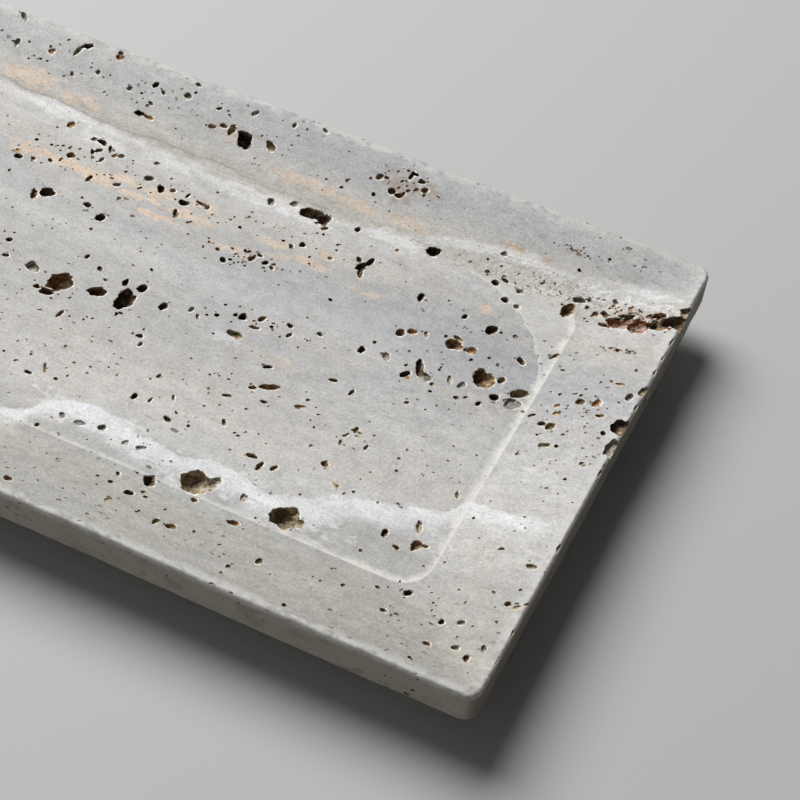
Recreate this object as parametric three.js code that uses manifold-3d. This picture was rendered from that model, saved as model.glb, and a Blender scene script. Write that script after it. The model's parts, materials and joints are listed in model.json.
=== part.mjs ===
// A shallow rectangular travertine tray, carved from one slab, on four self-adhesive felt feet.
// Millimetres, +Z up. The origin is on the table under the tray's middle, and +X runs along its length.
import * as THREE from "three";
import { mergeVertices } from "three/addons/utils/BufferGeometryUtils.js";
import Module from "manifold-3d";

const wasm = await Module();
wasm.setup();

// Driving dimensions: the stone
const TRAY_LENGTH = 300;
const TRAY_WIDTH = 150;
const STONE_HEIGHT = 20; // the slab that the tray is carved from
const RIM_FACE_HEIGHT = 10; // upright face round the outside
const RIM_CORNER_RADIUS = 3.5;
const RIM_EASE = 1.25; // rounding of the rim's upper and lower edges
const BORDER_WIDTH = 25; // sloping border, from the rim in to the floor's crease
const RECESS_DEPTH = 7; // from the rim down to the floor
const CREASE_CORNER_RADIUS = 8;
const UNDERCUT_WIDTH = 22; // how far the sloping underside runs in from the rim to the base
const BASE_CORNER_RADIUS = 6;

// Driving dimensions: the feet
const FOOT_DIAMETER = 22;
const FELT_THICKNESS = 1.75;
const ADHESIVE_THICKNESS = 0.25;
const ADHESIVE_MARGIN = 0.75; // the film stops this far inside the felt's edge
const FOOT_TO_BASE_EDGE = 6; // from a foot's edge to the edge of the base

// Fineness of the round stretches, and of the voids' uneven walls
const CORNER_STEPS = 6;
const EASE_STEPS = 3;
const FOOT_SIDES = 32;
const VOID_DETAIL = 1;
const VOID_UNEVENNESS = 0.16; // share of a void's size
const VOID_WAVES = { x: 5, y: 7, z: 4 };

// Natural voids open to the upper surface: place from the right-hand end and across from the
// middle line, then length, width and depth, with the length turned from +X in degrees.
const VOIDS = [
  // The broken seam across the right-hand border, and the notches in the rim
  { fromEnd: 16.4, across: 50.2, long: 6.4, wide: 3.6, deep: 3, turn: 10 },
  { fromEnd: 12.8, across: 48.8, long: 9.6, wide: 5, deep: 3.8, turn: -4 },
  { fromEnd: 13.6, across: 52.2, long: 5.2, wide: 3, deep: 3, turn: 75 },
  { fromEnd: 6.8, across: 50.4, long: 6, wide: 5, deep: 4.2, turn: 80 },
  { fromEnd: 7, across: 54, long: 4, wide: 3.6, deep: 2.8, turn: 20 },
  { fromEnd: 0.6, across: 52.4, long: 6.8, wide: 5, deep: 4.4, turn: 85 },
  { fromEnd: 0.5, across: 13, long: 5.4, wide: 3, deep: 3, turn: 80 },
  { fromEnd: 0.2, across: 6, long: 7, wide: 2.4, deep: 3.6, turn: 88 },
  // The floor, right-hand half
  { fromEnd: 28.6, across: 16.4, long: 4.2, wide: 3, deep: 2.4, turn: 60 },
  { fromEnd: 29, across: 12.6, long: 4.2, wide: 3, deep: 2, turn: 10 },
  { fromEnd: 29, across: 48.7, long: 5, wide: 3.4, deep: 2.4, turn: 80 },
  { fromEnd: 31.3, across: -38.2, long: 3.4, wide: 2.2, deep: 1.4, turn: 80 },
  { fromEnd: 38.6, across: 17, long: 5.6, wide: 4.8, deep: 3, turn: -35 },
  { fromEnd: 43.7, across: 33.2, long: 3.4, wide: 2.6, deep: 2.2, turn: 65 },
  { fromEnd: 45.2, across: 24.3, long: 2.8, wide: 2.4, deep: 1.4, turn: 20 },
  { fromEnd: 49.8, across: 24, long: 4.8, wide: 4.2, deep: 2.8, turn: 10 },
  { fromEnd: 52, across: 10.4, long: 3.4, wide: 2.8, deep: 1.5, turn: -10 },
  { fromEnd: 54.2, across: 12.6, long: 5.4, wide: 2, deep: 2.2, turn: -65 },
  { fromEnd: 61.8, across: -45, long: 7.8, wide: 5.6, deep: 4, turn: -12 },
  { fromEnd: 64.4, across: 35, long: 3.2, wide: 1.6, deep: 2, turn: 95 },
  { fromEnd: 81.5, across: 40, long: 3, wide: 1.4, deep: 1.6, turn: 80 },
  { fromEnd: 82.6, across: 36.4, long: 4.4, wide: 2.2, deep: 2.4, turn: 80 },
  { fromEnd: 84.2, across: -11.4, long: 5.8, wide: 1.8, deep: 1.3, turn: 24 },
  { fromEnd: 86.4, across: -46.2, long: 6.2, wide: 5, deep: 3, turn: 70 },
  { fromEnd: 99, across: 48, long: 4.4, wide: 3, deep: 2.8, turn: 95 },
  { fromEnd: 99.8, across: 0, long: 4.6, wide: 2.2, deep: 1.5, turn: -8 },
  { fromEnd: 102.8, across: 48.2, long: 5.4, wide: 3.2, deep: 2.6, turn: 5 },
  // The floor, from the middle leftwards
  { fromEnd: 128, across: 2.5, long: 3, wide: 2.2, deep: 2.2, turn: 75 },
  { fromEnd: 130, across: -3.2, long: 7.2, wide: 4.4, deep: 3.8, turn: 88 },
  { fromEnd: 134.1, across: 30.5, long: 3.5, wide: 1.6, deep: 1.4, turn: -62 },
  { fromEnd: 137.2, across: -4, long: 4.8, wide: 2.8, deep: 2.4, turn: 20 },
  { fromEnd: 142.2, across: 37, long: 3.2, wide: 1.9, deep: 1.8, turn: -60 },
  { fromEnd: 147.4, across: -5.8, long: 5.4, wide: 4.8, deep: 3.2, turn: 60 },
  { fromEnd: 148.6, across: -10.2, long: 3.8, wide: 2.4, deep: 2, turn: 10 },
  { fromEnd: 150.5, across: 19.6, long: 3, wide: 2.3, deep: 2.2, turn: 75 },
  { fromEnd: 156.2, across: -4.4, long: 4.4, wide: 2.8, deep: 2, turn: -20 },
  { fromEnd: 165.2, across: 45, long: 3.2, wide: 1.6, deep: 1.6, turn: -10 },
  { fromEnd: 167.6, across: 20.8, long: 3.6, wide: 3.2, deep: 2.4, turn: 20 },
  { fromEnd: 205, across: -12, long: 5.5, wide: 4, deep: 3, turn: 35 },
  { fromEnd: 216, across: 40, long: 5, wide: 2.4, deep: 2.2, turn: 10 },
  { fromEnd: 222, across: 8, long: 6, wide: 3.4, deep: 2.8, turn: -15 },
  { fromEnd: 236, across: -30, long: 4, wide: 3, deep: 2.2, turn: 50 },
  { fromEnd: 248, across: 22, long: 7, wide: 4, deep: 3.2, turn: 20 },
  { fromEnd: 262, across: -8, long: 4.4, wide: 3, deep: 2.4, turn: 0 },
  // The borders
  { fromEnd: 9.8, across: 19.4, long: 2.9, wide: 2.1, deep: 1.5, turn: 75 },
  { fromEnd: 17.5, across: 8.8, long: 2.6, wide: 2.2, deep: 1.4, turn: 40 },
  { fromEnd: 68.4, across: 51.4, long: 3.8, wide: 3, deep: 2.4, turn: 25 },
  { fromEnd: 85.4, across: 62.8, long: 4.4, wide: 1.9, deep: 1.4, turn: 0 },
  { fromEnd: 95, across: -51.2, long: 4.2, wide: 2.6, deep: 2.4, turn: -58 },
  { fromEnd: 122.8, across: 62.8, long: 3.7, wide: 2.3, deep: 1.5, turn: -45 },
  { fromEnd: 130.3, across: 62, long: 5.8, wide: 3.7, deep: 3.6, turn: -50 },
  { fromEnd: 134.9, across: 63, long: 3.4, wide: 2, deep: 1.6, turn: 80 },
  { fromEnd: 160, across: 58, long: 4.6, wide: 1.6, deep: 1.5, turn: 0 },
  { fromEnd: 186, across: 70, long: 4.6, wide: 1.6, deep: 1.4, turn: 60 },
  { fromEnd: 244, across: 60, long: 4.6, wide: 3, deep: 2.4, turn: -30 },
  { fromEnd: 270, across: -58, long: 4, wide: 2.6, deep: 2, turn: 15 },
];

// Heights that follow from the driving dimensions
const BASE_Z = FELT_THICKNESS + ADHESIVE_THICKNESS;
const RIM_TOP_Z = BASE_Z + STONE_HEIGHT;
const RIM_BOTTOM_Z = RIM_TOP_Z - RIM_FACE_HEIGHT;
const FLOOR_Z = RIM_TOP_Z - RECESS_DEPTH;

const QUARTER_TURN = Math.PI / 2;

// The tray's outline drawn in by an inset, anticlockwise from the right-hand rear corner's +X side.
function outline(inset, radius) {
  const centreX = TRAY_LENGTH / 2 - inset - radius;
  const centreY = TRAY_WIDTH / 2 - inset - radius;
  const corners = [
    [centreX, centreY],
    [-centreX, centreY],
    [-centreX, -centreY],
    [centreX, -centreY],
  ];
  return corners.flatMap(([x, y], corner) =>
    Array.from({ length: CORNER_STEPS + 1 }, (_, step) => {
      const angle = (corner + step / CORNER_STEPS) * QUARTER_TURN;
      return new THREE.Vector2(x + radius * Math.cos(angle), y + radius * Math.sin(angle));
    }),
  );
}

// A closed skin over rings of matching points, from the lowest ring round to the last, capped at both ends.
function loft(rings) {
  const perRing = rings[0].points.length;
  const places = rings.flatMap(({ points, z }) => points.flatMap(({ x, y }) => [x, y, z]));
  const triangles = [];
  for (let ring = 0; ring < rings.length - 1; ring++) {
    for (let point = 0; point < perRing; point++) {
      const here = ring * perRing + point;
      const next = ring * perRing + ((point + 1) % perRing);
      triangles.push(here, next, next + perRing, here, next + perRing, here + perRing);
    }
  }
  const last = (rings.length - 1) * perRing;
  for (const [a, b, c] of THREE.ShapeUtils.triangulateShape(rings[0].points, [])) {
    triangles.push(c, b, a);
  }
  for (const [a, b, c] of THREE.ShapeUtils.triangulateShape(rings.at(-1).points, [])) {
    triangles.push(last + a, last + b, last + c);
  }
  return new THREE.BufferGeometry()
    .setAttribute("position", new THREE.Float32BufferAttribute(places, 3))
    .setIndex(triangles);
}

// A closed geometry as a solid that can be cut.
function solidOf(geometry) {
  const bare = geometry.clone();
  bare.deleteAttribute("normal");
  bare.deleteAttribute("uv");
  const merged = mergeVertices(bare);
  return new wasm.Manifold(
    new wasm.Mesh({
      numProp: 3,
      vertProperties: new Float32Array(merged.getAttribute("position").array),
      triVerts: new Uint32Array(merged.index.array),
    }),
  );
}

// A cut solid back as a geometry.
function geometryOf(solid) {
  const { vertProperties, triVerts } = solid.getMesh();
  const geometry = new THREE.BufferGeometry()
    .setAttribute("position", new THREE.BufferAttribute(vertProperties, 3))
    .setIndex(new THREE.BufferAttribute(triVerts, 1));
  geometry.computeVertexNormals();
  return geometry;
}

// Height of the floor, or of the sloping border, under a point of the plan.
function upperSurfaceHeight(x, y) {
  const inFromRim = Math.min(TRAY_LENGTH / 2 - Math.abs(x), TRAY_WIDTH / 2 - Math.abs(y));
  const climb = (BORDER_WIDTH - inFromRim) / (BORDER_WIDTH - RIM_EASE);
  return FLOOR_Z + RECESS_DEPTH * THREE.MathUtils.clamp(climb, 0, 1);
}

// The slab as it leaves the wheel: base, sloping underside, upright rim, sloping border and floor.
function carvedSlab() {
  const rings = [{ points: outline(UNDERCUT_WIDTH, BASE_CORNER_RADIUS), z: BASE_Z }];
  const addEdge = (edgeZ, firstAngle) => {
    for (let step = 0; step <= EASE_STEPS; step++) {
      const angle = firstAngle + (step / EASE_STEPS) * QUARTER_TURN;
      const inset = RIM_EASE * (1 - Math.cos(angle));
      rings.push({ points: outline(inset, RIM_CORNER_RADIUS), z: edgeZ + RIM_EASE * Math.sin(angle) });
    }
  };
  addEdge(RIM_BOTTOM_Z + RIM_EASE, -QUARTER_TURN);
  addEdge(RIM_TOP_Z - RIM_EASE, 0);
  rings.push({ points: outline(BORDER_WIDTH, CREASE_CORNER_RADIUS), z: FLOOR_Z });
  return solidOf(loft(rings));
}

// One void: a bubble with an uneven wall, centred on the surface that it opens in.
function voidBubble({ fromEnd, across, long, wide, deep, turn }) {
  const x = TRAY_LENGTH / 2 - fromEnd;
  const bubble = new THREE.IcosahedronGeometry(1, VOID_DETAIL);
  const places = bubble.getAttribute("position");
  const corner = new THREE.Vector3();
  for (let i = 0; i < places.count; i++) {
    corner.fromBufferAttribute(places, i);
    const wave =
      Math.sin(VOID_WAVES.x * corner.x + fromEnd) *
      Math.cos(VOID_WAVES.y * corner.y + across) *
      Math.cos(VOID_WAVES.z * corner.z);
    corner.multiplyScalar(1 + VOID_UNEVENNESS * wave);
    places.setXYZ(i, corner.x, corner.y, corner.z);
  }
  bubble.scale(long / 2, wide / 2, deep);
  bubble.rotateZ(THREE.MathUtils.degToRad(turn));
  bubble.translate(x, across, upperSurfaceHeight(x, across));
  return solidOf(bubble);
}

function trayBody() {
  const pitted = VOIDS.reduce((stone, place) => stone.subtract(voidBubble(place)), carvedSlab());
  const travertine = new THREE.MeshStandardMaterial({ color: 0xbdbab4, roughness: 0.75, metalness: 0 });
  const body = new THREE.Mesh(geometryOf(pitted), travertine);
  body.name = "tray_body";
  return body;
}

function disc(name, diameter, thickness, bottomZ, material) {
  const geometry = new THREE.CylinderGeometry(diameter / 2, diameter / 2, thickness, FOOT_SIDES);
  geometry.rotateX(QUARTER_TURN);
  const mesh = new THREE.Mesh(geometry, material);
  mesh.name = name;
  mesh.position.z = bottomZ + thickness / 2;
  return mesh;
}

// A foot: the felt that stands on the table, and the film that holds it to the stone.
function foot(corner) {
  const felt = new THREE.MeshStandardMaterial({ color: 0x6b675f, roughness: 1, metalness: 0 });
  const film = new THREE.MeshStandardMaterial({ color: 0xd9cfb4, roughness: 0.4, metalness: 0 });
  const filmDiameter = FOOT_DIAMETER - 2 * ADHESIVE_MARGIN;
  const group = new THREE.Group();
  group.add(
    disc(`felt_foot_${corner}`, FOOT_DIAMETER, FELT_THICKNESS, 0, felt),
    disc(`foot_adhesive_${corner}`, filmDiameter, ADHESIVE_THICKNESS, FELT_THICKNESS, film),
  );
  return group;
}

const tray = new THREE.Group();
tray.add(trayBody());

const FOOT_INSET = UNDERCUT_WIDTH + FOOT_TO_BASE_EDGE + FOOT_DIAMETER / 2;
for (const [end, alongSign] of [["left", -1], ["right", 1]]) {
  for (const [side, acrossSign] of [["front", -1], ["rear", 1]]) {
    const cornerFoot = foot(`${side}_${end}`);
    cornerFoot.position.x = alongSign * (TRAY_LENGTH / 2 - FOOT_INSET);
    cornerFoot.position.y = acrossSign * (TRAY_WIDTH / 2 - FOOT_INSET);
    tray.add(cornerFoot);
  }
}

export default tray;
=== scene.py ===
"""Looks of a travertine tray: one carved slab of banded, open-pored stone on four felt feet.

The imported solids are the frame. The stone is modelled again here with its hand-finished edges and its
voids, the feet get their felt and their glue, and a plain studio shows the tray at the photograph's angle.
Shapes are worked out in millimetres and written to the meshes in metres.
"""

import json
import logging
import math
import random
from collections.abc import Iterable, Iterator
from contextlib import contextmanager
from dataclasses import dataclass, field
from enum import Enum

import bpy
import numpy as np
from mathutils import Matrix, Vector, noise
from mathutils.bvhtree import BVHTree
from mathutils.kdtree import KDTree

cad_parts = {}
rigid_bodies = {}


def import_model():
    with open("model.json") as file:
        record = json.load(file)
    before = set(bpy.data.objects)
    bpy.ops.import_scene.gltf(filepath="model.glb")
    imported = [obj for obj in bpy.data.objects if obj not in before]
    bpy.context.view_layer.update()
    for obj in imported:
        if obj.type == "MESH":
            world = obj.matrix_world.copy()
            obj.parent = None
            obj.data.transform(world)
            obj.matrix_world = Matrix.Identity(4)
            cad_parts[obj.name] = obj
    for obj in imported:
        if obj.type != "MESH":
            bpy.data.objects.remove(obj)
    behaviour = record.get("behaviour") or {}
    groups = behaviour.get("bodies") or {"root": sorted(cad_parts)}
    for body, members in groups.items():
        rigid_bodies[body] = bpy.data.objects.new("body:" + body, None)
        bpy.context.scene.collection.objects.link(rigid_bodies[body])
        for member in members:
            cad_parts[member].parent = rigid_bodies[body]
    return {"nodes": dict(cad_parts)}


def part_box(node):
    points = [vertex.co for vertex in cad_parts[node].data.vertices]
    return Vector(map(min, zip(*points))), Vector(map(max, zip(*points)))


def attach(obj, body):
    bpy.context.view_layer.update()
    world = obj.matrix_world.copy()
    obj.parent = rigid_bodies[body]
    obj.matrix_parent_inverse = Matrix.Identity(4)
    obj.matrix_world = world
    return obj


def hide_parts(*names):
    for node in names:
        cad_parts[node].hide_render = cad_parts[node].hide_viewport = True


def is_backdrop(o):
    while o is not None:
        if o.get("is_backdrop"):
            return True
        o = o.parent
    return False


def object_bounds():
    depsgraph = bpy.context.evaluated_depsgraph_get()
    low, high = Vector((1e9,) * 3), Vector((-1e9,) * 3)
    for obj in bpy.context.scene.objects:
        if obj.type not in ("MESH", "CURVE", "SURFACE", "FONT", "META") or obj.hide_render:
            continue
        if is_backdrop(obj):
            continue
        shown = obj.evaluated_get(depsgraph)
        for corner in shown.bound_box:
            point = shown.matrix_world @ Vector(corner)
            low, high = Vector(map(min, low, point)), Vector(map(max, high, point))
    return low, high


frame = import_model()
CAD_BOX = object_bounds()

LOG = logging.getLogger("travertine_tray")
MM = 0.001
BODY = "root"
# Places closer than this many millimetres count as one
NEAR = 0.01
# A face that reaches this far below the uncut surface is the wall of a void
WALL_FROM = 0.015 * MM
# A normal whose upright part is larger than this belongs to a level face
LEVEL = 0.99
# A normal whose upright part is larger than this belongs to the upper surface
UPPER = 0.5
# Options of nodes that recur: a ramp with soft ends, and a mix of colours
SMOOTH = {"interpolation_type": "SMOOTHSTEP"}
COLOURS = {"data_type": "RGBA"}

# What feeds a node's input: a node's first output, or a socket
Feed = bpy.types.Node | bpy.types.NodeSocket
# A colour, and the mask that lets it through
Layer = tuple[str, Feed]


class Lining(Enum):
    """What coats a void: the colour of its wall, and how much deeper than a plain bowl such voids run."""

    CHALK = ("#CBC5B9", 0.75)
    GREY = ("#B2AA9A", 0.95)
    OLIVE = ("#B3A07A", 1.1)
    UMBER = ("#B18E62", 1.2)
    DARK = ("#84694A", 1.5)
    OCHRE = ("#CBA470", 0.85)
    RUST = ("#B27A5E", 1.05)

    def __init__(self, colour: str, sink: float) -> None:
        """Names the values."""
        self.colour, self.sink = colour, sink


# Short names for the rows of voids
CHALK, GREY, OLIVE, UMBER, DARK, OCHRE, RUST = Lining


class Plug(Enum):
    """What a void is cut with, a stack of rings: its sides, the rings of its worn lip, and those of its bowl.

    The bowl's rings are shares of its depth.
    """

    SMALL = (7, 0, (0.55,))
    MEDIUM = (12, 1, (0.4, 0.8))
    LARGE = (24, 1, (0.18, 0.42, 0.66, 0.88))

    def __init__(self, sides: int, lip_rings: int, bowl: tuple[float, ...]) -> None:
        """Names the values."""
        self.sides, self.lip_rings, self.bowl = sides, lip_rings, bowl


class Stain(Enum):
    """What tints a patch of the stone: its colour, and how soft its edge is as a share of the patch."""

    CALCITE = ("#E3E4E3", 0.3)
    PEACH = ("#DFC4A8", 0.1)
    OCHRE = ("#BE935C", 0.3)
    BROWN = ("#9A846C", 0.5)
    CREAM = ("#CFCBC2", 0.6)
    BEIGE = ("#B9B5AD", 1.0)
    PALE = ("#CDCBC8", 0.9)
    COOL = ("#A8AAAB", 1.0)
    DUSK = ("#AFADA9", 1.2)

    def __init__(self, colour: str, soft: float) -> None:
        """Names the values."""
        self.colour, self.soft = colour, soft


class Corner(Enum):
    """The corners that have a foot, as the endings of their nodes' names."""

    FRONT_LEFT = "front_left"
    FRONT_RIGHT = "front_right"
    REAR_LEFT = "rear_left"
    REAR_RIGHT = "rear_right"


def linear(hex_colour: str) -> tuple[float, float, float, float]:
    """Turns an sRGB hex colour to linear.

    Args:
        hex_colour: six hex digits after a hash sign.

    Returns:
        Linear red, green and blue, with an alpha of 1.
    """
    shares = [int(hex_colour[i : i + 2], 16) / 255 for i in (1, 3, 5)]
    red, green, blue = [s / 12.92 if s <= 0.04045 else ((s + 0.055) / 1.055) ** 2.4 for s in shares]
    return red, green, blue, 1.0


@dataclass
class Shading:
    """The node tree of a material or a world, which starts empty."""

    owner: bpy.types.Material | bpy.types.World

    def __post_init__(self) -> None:
        """Empties the tree."""
        self.owner.use_nodes = True
        self.owner.node_tree.nodes.clear()

    def add(self, kind: str, values: dict | None = None, **settings: object) -> bpy.types.Node:
        """Adds one node, sets it and links it.

        Args:
            kind: the node's type without its ShaderNode prefix.
            values: an input's name or number to its constant, or to what feeds it.
            settings: the node's own options.

        Returns:
            The new node.
        """
        made = self.owner.node_tree.nodes.new("ShaderNode" + kind)
        for option, setting in settings.items():
            setattr(made, option, setting)
        for key, value in (values or {}).items():
            if isinstance(value, bpy.types.Node):
                value = value.outputs[0]
            if isinstance(value, bpy.types.NodeSocket):
                self.owner.node_tree.links.new(value, made.inputs[key])
            else:
                made.inputs[key].default_value = value
        return made

    def place(self) -> bpy.types.Node:
        """Adds the object's place in millimetres and returns the node that gives it."""
        coordinates = self.add("TexCoord")
        return self.add("Mapping", {"Vector": coordinates.outputs["Object"], "Scale": (1 / MM,) * 3})

    def finish(self, shader: bpy.types.Node) -> bpy.types.Material:
        """Joins the shader to the material's output and returns the material."""
        self.add("OutputMaterial", {"Surface": shader})
        return self.owner


@dataclass
class StoneShading(Shading):
    """The stone's node tree, with the coordinates and the noise that its patterns share.

    Places are in millimetres. Noise lies about a half, from 0 to 1.
    """

    spot: bpy.types.Node = field(init=False)
    along: bpy.types.NodeSocket = field(init=False)
    across: bpy.types.NodeSocket = field(init=False)
    height: bpy.types.NodeSocket = field(init=False)
    slow: bpy.types.Node = field(init=False)
    crumb: bpy.types.Node = field(init=False)
    rag: bpy.types.Node = field(init=False)

    def __post_init__(self) -> None:
        """Adds the coordinates, and the noise that frays the edges of patches."""
        super().__post_init__()
        self.spot = self.place()
        self.along, self.across, self.height = self.add("SeparateXYZ", {0: self.spot}).outputs
        self.slow = self.wave((9, 5, 5), 5)
        self.crumb = self.wave((2.4, 1.7, 1.7), 5)
        self.rag = self.fray(0.4)

    def wave(self, size: tuple[float, float, float], detail: float) -> bpy.types.Node:
        """Makes cloudy noise.

        Args:
            size: about how long, wide and high its lumps are, in millimetres.
            detail: how many finer octaves it has.

        Returns:
            The noise.
        """
        squeezed = self.add("Mapping", {"Vector": self.spot, "Scale": tuple(1 / s for s in size)})
        return self.add("TexNoise", {"Vector": squeezed, "Scale": 1.0, "Detail": detail})

    def fray(self, slow_share: float) -> bpy.types.Node:
        """Blends slow noise, by the given share, with crumbly noise, and returns the blend."""
        crumbly = self.add("Math", {0: self.crumb, 1: 1 - slow_share}, operation="MULTIPLY")
        return self.add("Math", {0: self.slow, 1: slow_share, 2: crumbly}, operation="MULTIPLY_ADD")


@dataclass(frozen=True)
class Ramp:
    """How a pattern comes in: where it starts, where it is full, and what it gives there and before."""

    start: float
    full: float
    most: float = 1.0
    least: float = 0.0

    def of(self, value: Feed) -> dict[int, object]:
        """Returns the inputs of a map-range node that puts a value through the ramp."""
        return {0: value, 1: self.start, 2: self.full, 3: self.least, 4: self.most}


@dataclass(frozen=True)
class Vein:
    """A band of another colour that wanders along the slab.

    Its rear edge is points of the plan. It is blurred over soft, frays by about ragged, fades out forwards
    over depth, and stops beyond its span along X.
    """

    colour: str
    edge: tuple[tuple[float, float], ...]
    soft: float
    depth: float
    ragged: float
    strength: float
    span: tuple[float, float]


@dataclass(frozen=True)
class Cloud:
    """A frayed patch of a stain: its middle in the plan, its half length and half width, its strength."""

    stain: Stain
    x: float
    y: float
    long: float
    wide: float
    strength: float


# The clouds that this slab has, in the order they are laid: the ground's tones first, then the stains
STAINED = (
    (Stain.COOL, (
        (111, 23, 17, 16, 0.8), (94, 36, 21, 9, 0.55),
    )),
    (Stain.DUSK, (
        (42, -45, 26, 4.2, 0.3), (106, -41, 13, 6, 0.8), (-10, -6, 60, 48, 0.6),
    )),
    (Stain.PALE, (
        (26, 14, 46, 4.6, 0.55), (120, -3, 34, 5.6, 0.6),
    )),
    (Stain.DUSK, (
        (-10, 66, 60, 10, 0.3), (10, -63, 60, 10, 0.3),
    )),
    (Stain.COOL, (
        (45, 18, 36, 7, 0.35), (48, 68, 40, 8, 0.8), (-20, 66, 40, 6, 0.35),
    )),
    (Stain.CREAM, (
        (114, 53.5, 20, 3.8, 0.65), (40, -28, 40, 9, 0.35),
    )),
    (Stain.BEIGE, (
        (137, -46, 12, 14, 0.8), (60, -64, 80, 8, 0.4),
    )),
    (Stain.PALE, (
        (102, -12, 26, 9, 0.4), (139, -11, 13, 8, 0.6),
    )),
    (Stain.CALCITE, (
        (33, -41, 15, 4, 0.6), (47, -43.6, 11, 3.2, 0.4), (74, -43, 12, 4.2, 0.65),
        (102, -34, 13, 4.4, 0.35), (63.5, -45, 8, 4.6, 0.6), (92, -43, 11, 4.6, 0.65),
        (49, -2, 4.6, 2, 0.5), (-31, 50.5, 11, 2.4, 0.55), (-14, 45.6, 9, 2.6, 0.45),
        (6, 46, 9, 2.2, 0.4), (31, 45.6, 9, 2, 0.45), (46, 46.4, 8, 2, 0.5), (70, 50, 8, 2.6, 0.75),
        (90, 56, 9, 1.8, 0.55), (104, 58.2, 7, 1.5, 0.5), (139, 60.6, 12, 1.5, 0.6),
        (127, 56.6, 7, 2.6, 0.55), (140, 57, 8, 2, 0.6), (138, -23.5, 15, 2.4, 0.4),
    )),
    (Stain.PEACH, (
        (-31, 33.5, 7, 2.4, 0.6), (-20, 33.6, 7, 2.6, 0.65), (-9, 32.2, 7, 2.2, 0.65),
        (2, 31.4, 4.6, 1.8, 0.6), (12, 27.2, 6, 1.8, 0.7), (20, 36.8, 6, 2, 0.55),
        (-2, 35.2, 5, 2.2, 0.6), (9, 34.6, 5, 2.4, 0.6), (16, 31.6, 4.4, 2.2, 0.6),
        (24, 31.6, 5, 1.8, 0.5), (47, 29.6, 4, 1.6, 0.5), (33, 26.2, 6, 1.7, 0.55),
        (44, 33.6, 5, 2, 0.5), (55, 31.8, 6, 2, 0.5), (58, 36.2, 3.4, 1.8, 0.45),
        (71, 29, 4.6, 1.6, 0.4), (102, 39, 2, 1.7, 0.6), (-46, 57, 10, 3, 0.5), (-30, 55, 9, 2.2, 0.5),
        (18, 61.6, 6, 1.5, 0.4), (40, 56.6, 10, 2.2, 0.5), (56, 55.6, 8, 1.6, 0.45),
        (72, 56, 9, 1.6, 0.4), (60, -3, 10, 2.4, 0.2), (-66, 32.6, 9, 2.2, 0.55),
        (-80, 30.8, 7, 1.8, 0.5), (-98, 31.6, 6, 2, 0.45), (-116, 14, 8, 2, 0.4),
    )),
    (Stain.BROWN, (
        (66, 66, 8, 4.6, 0.55), (-96, 63, 8, 2.8, 0.4), (15, 63.2, 8, 2, 0.35),
    )),
    (Stain.OCHRE, (
        (101, 60.6, 4, 0.8, 0.55), (109, 60.4, 3, 0.7, 0.4), (130, 61.2, 4.6, 0.9, 0.55),
    )),
)
CLOUDS = tuple(Cloud(stain, *row) for stain, rows in STAINED for row in rows)
POROUS_BEDS = (
    Cloud(Stain.CREAM, 116, 53.8, 24, 4.6, 1),
    Cloud(Stain.CREAM, 141, 56.2, 13, 3.8, 0.9),
)


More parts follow.
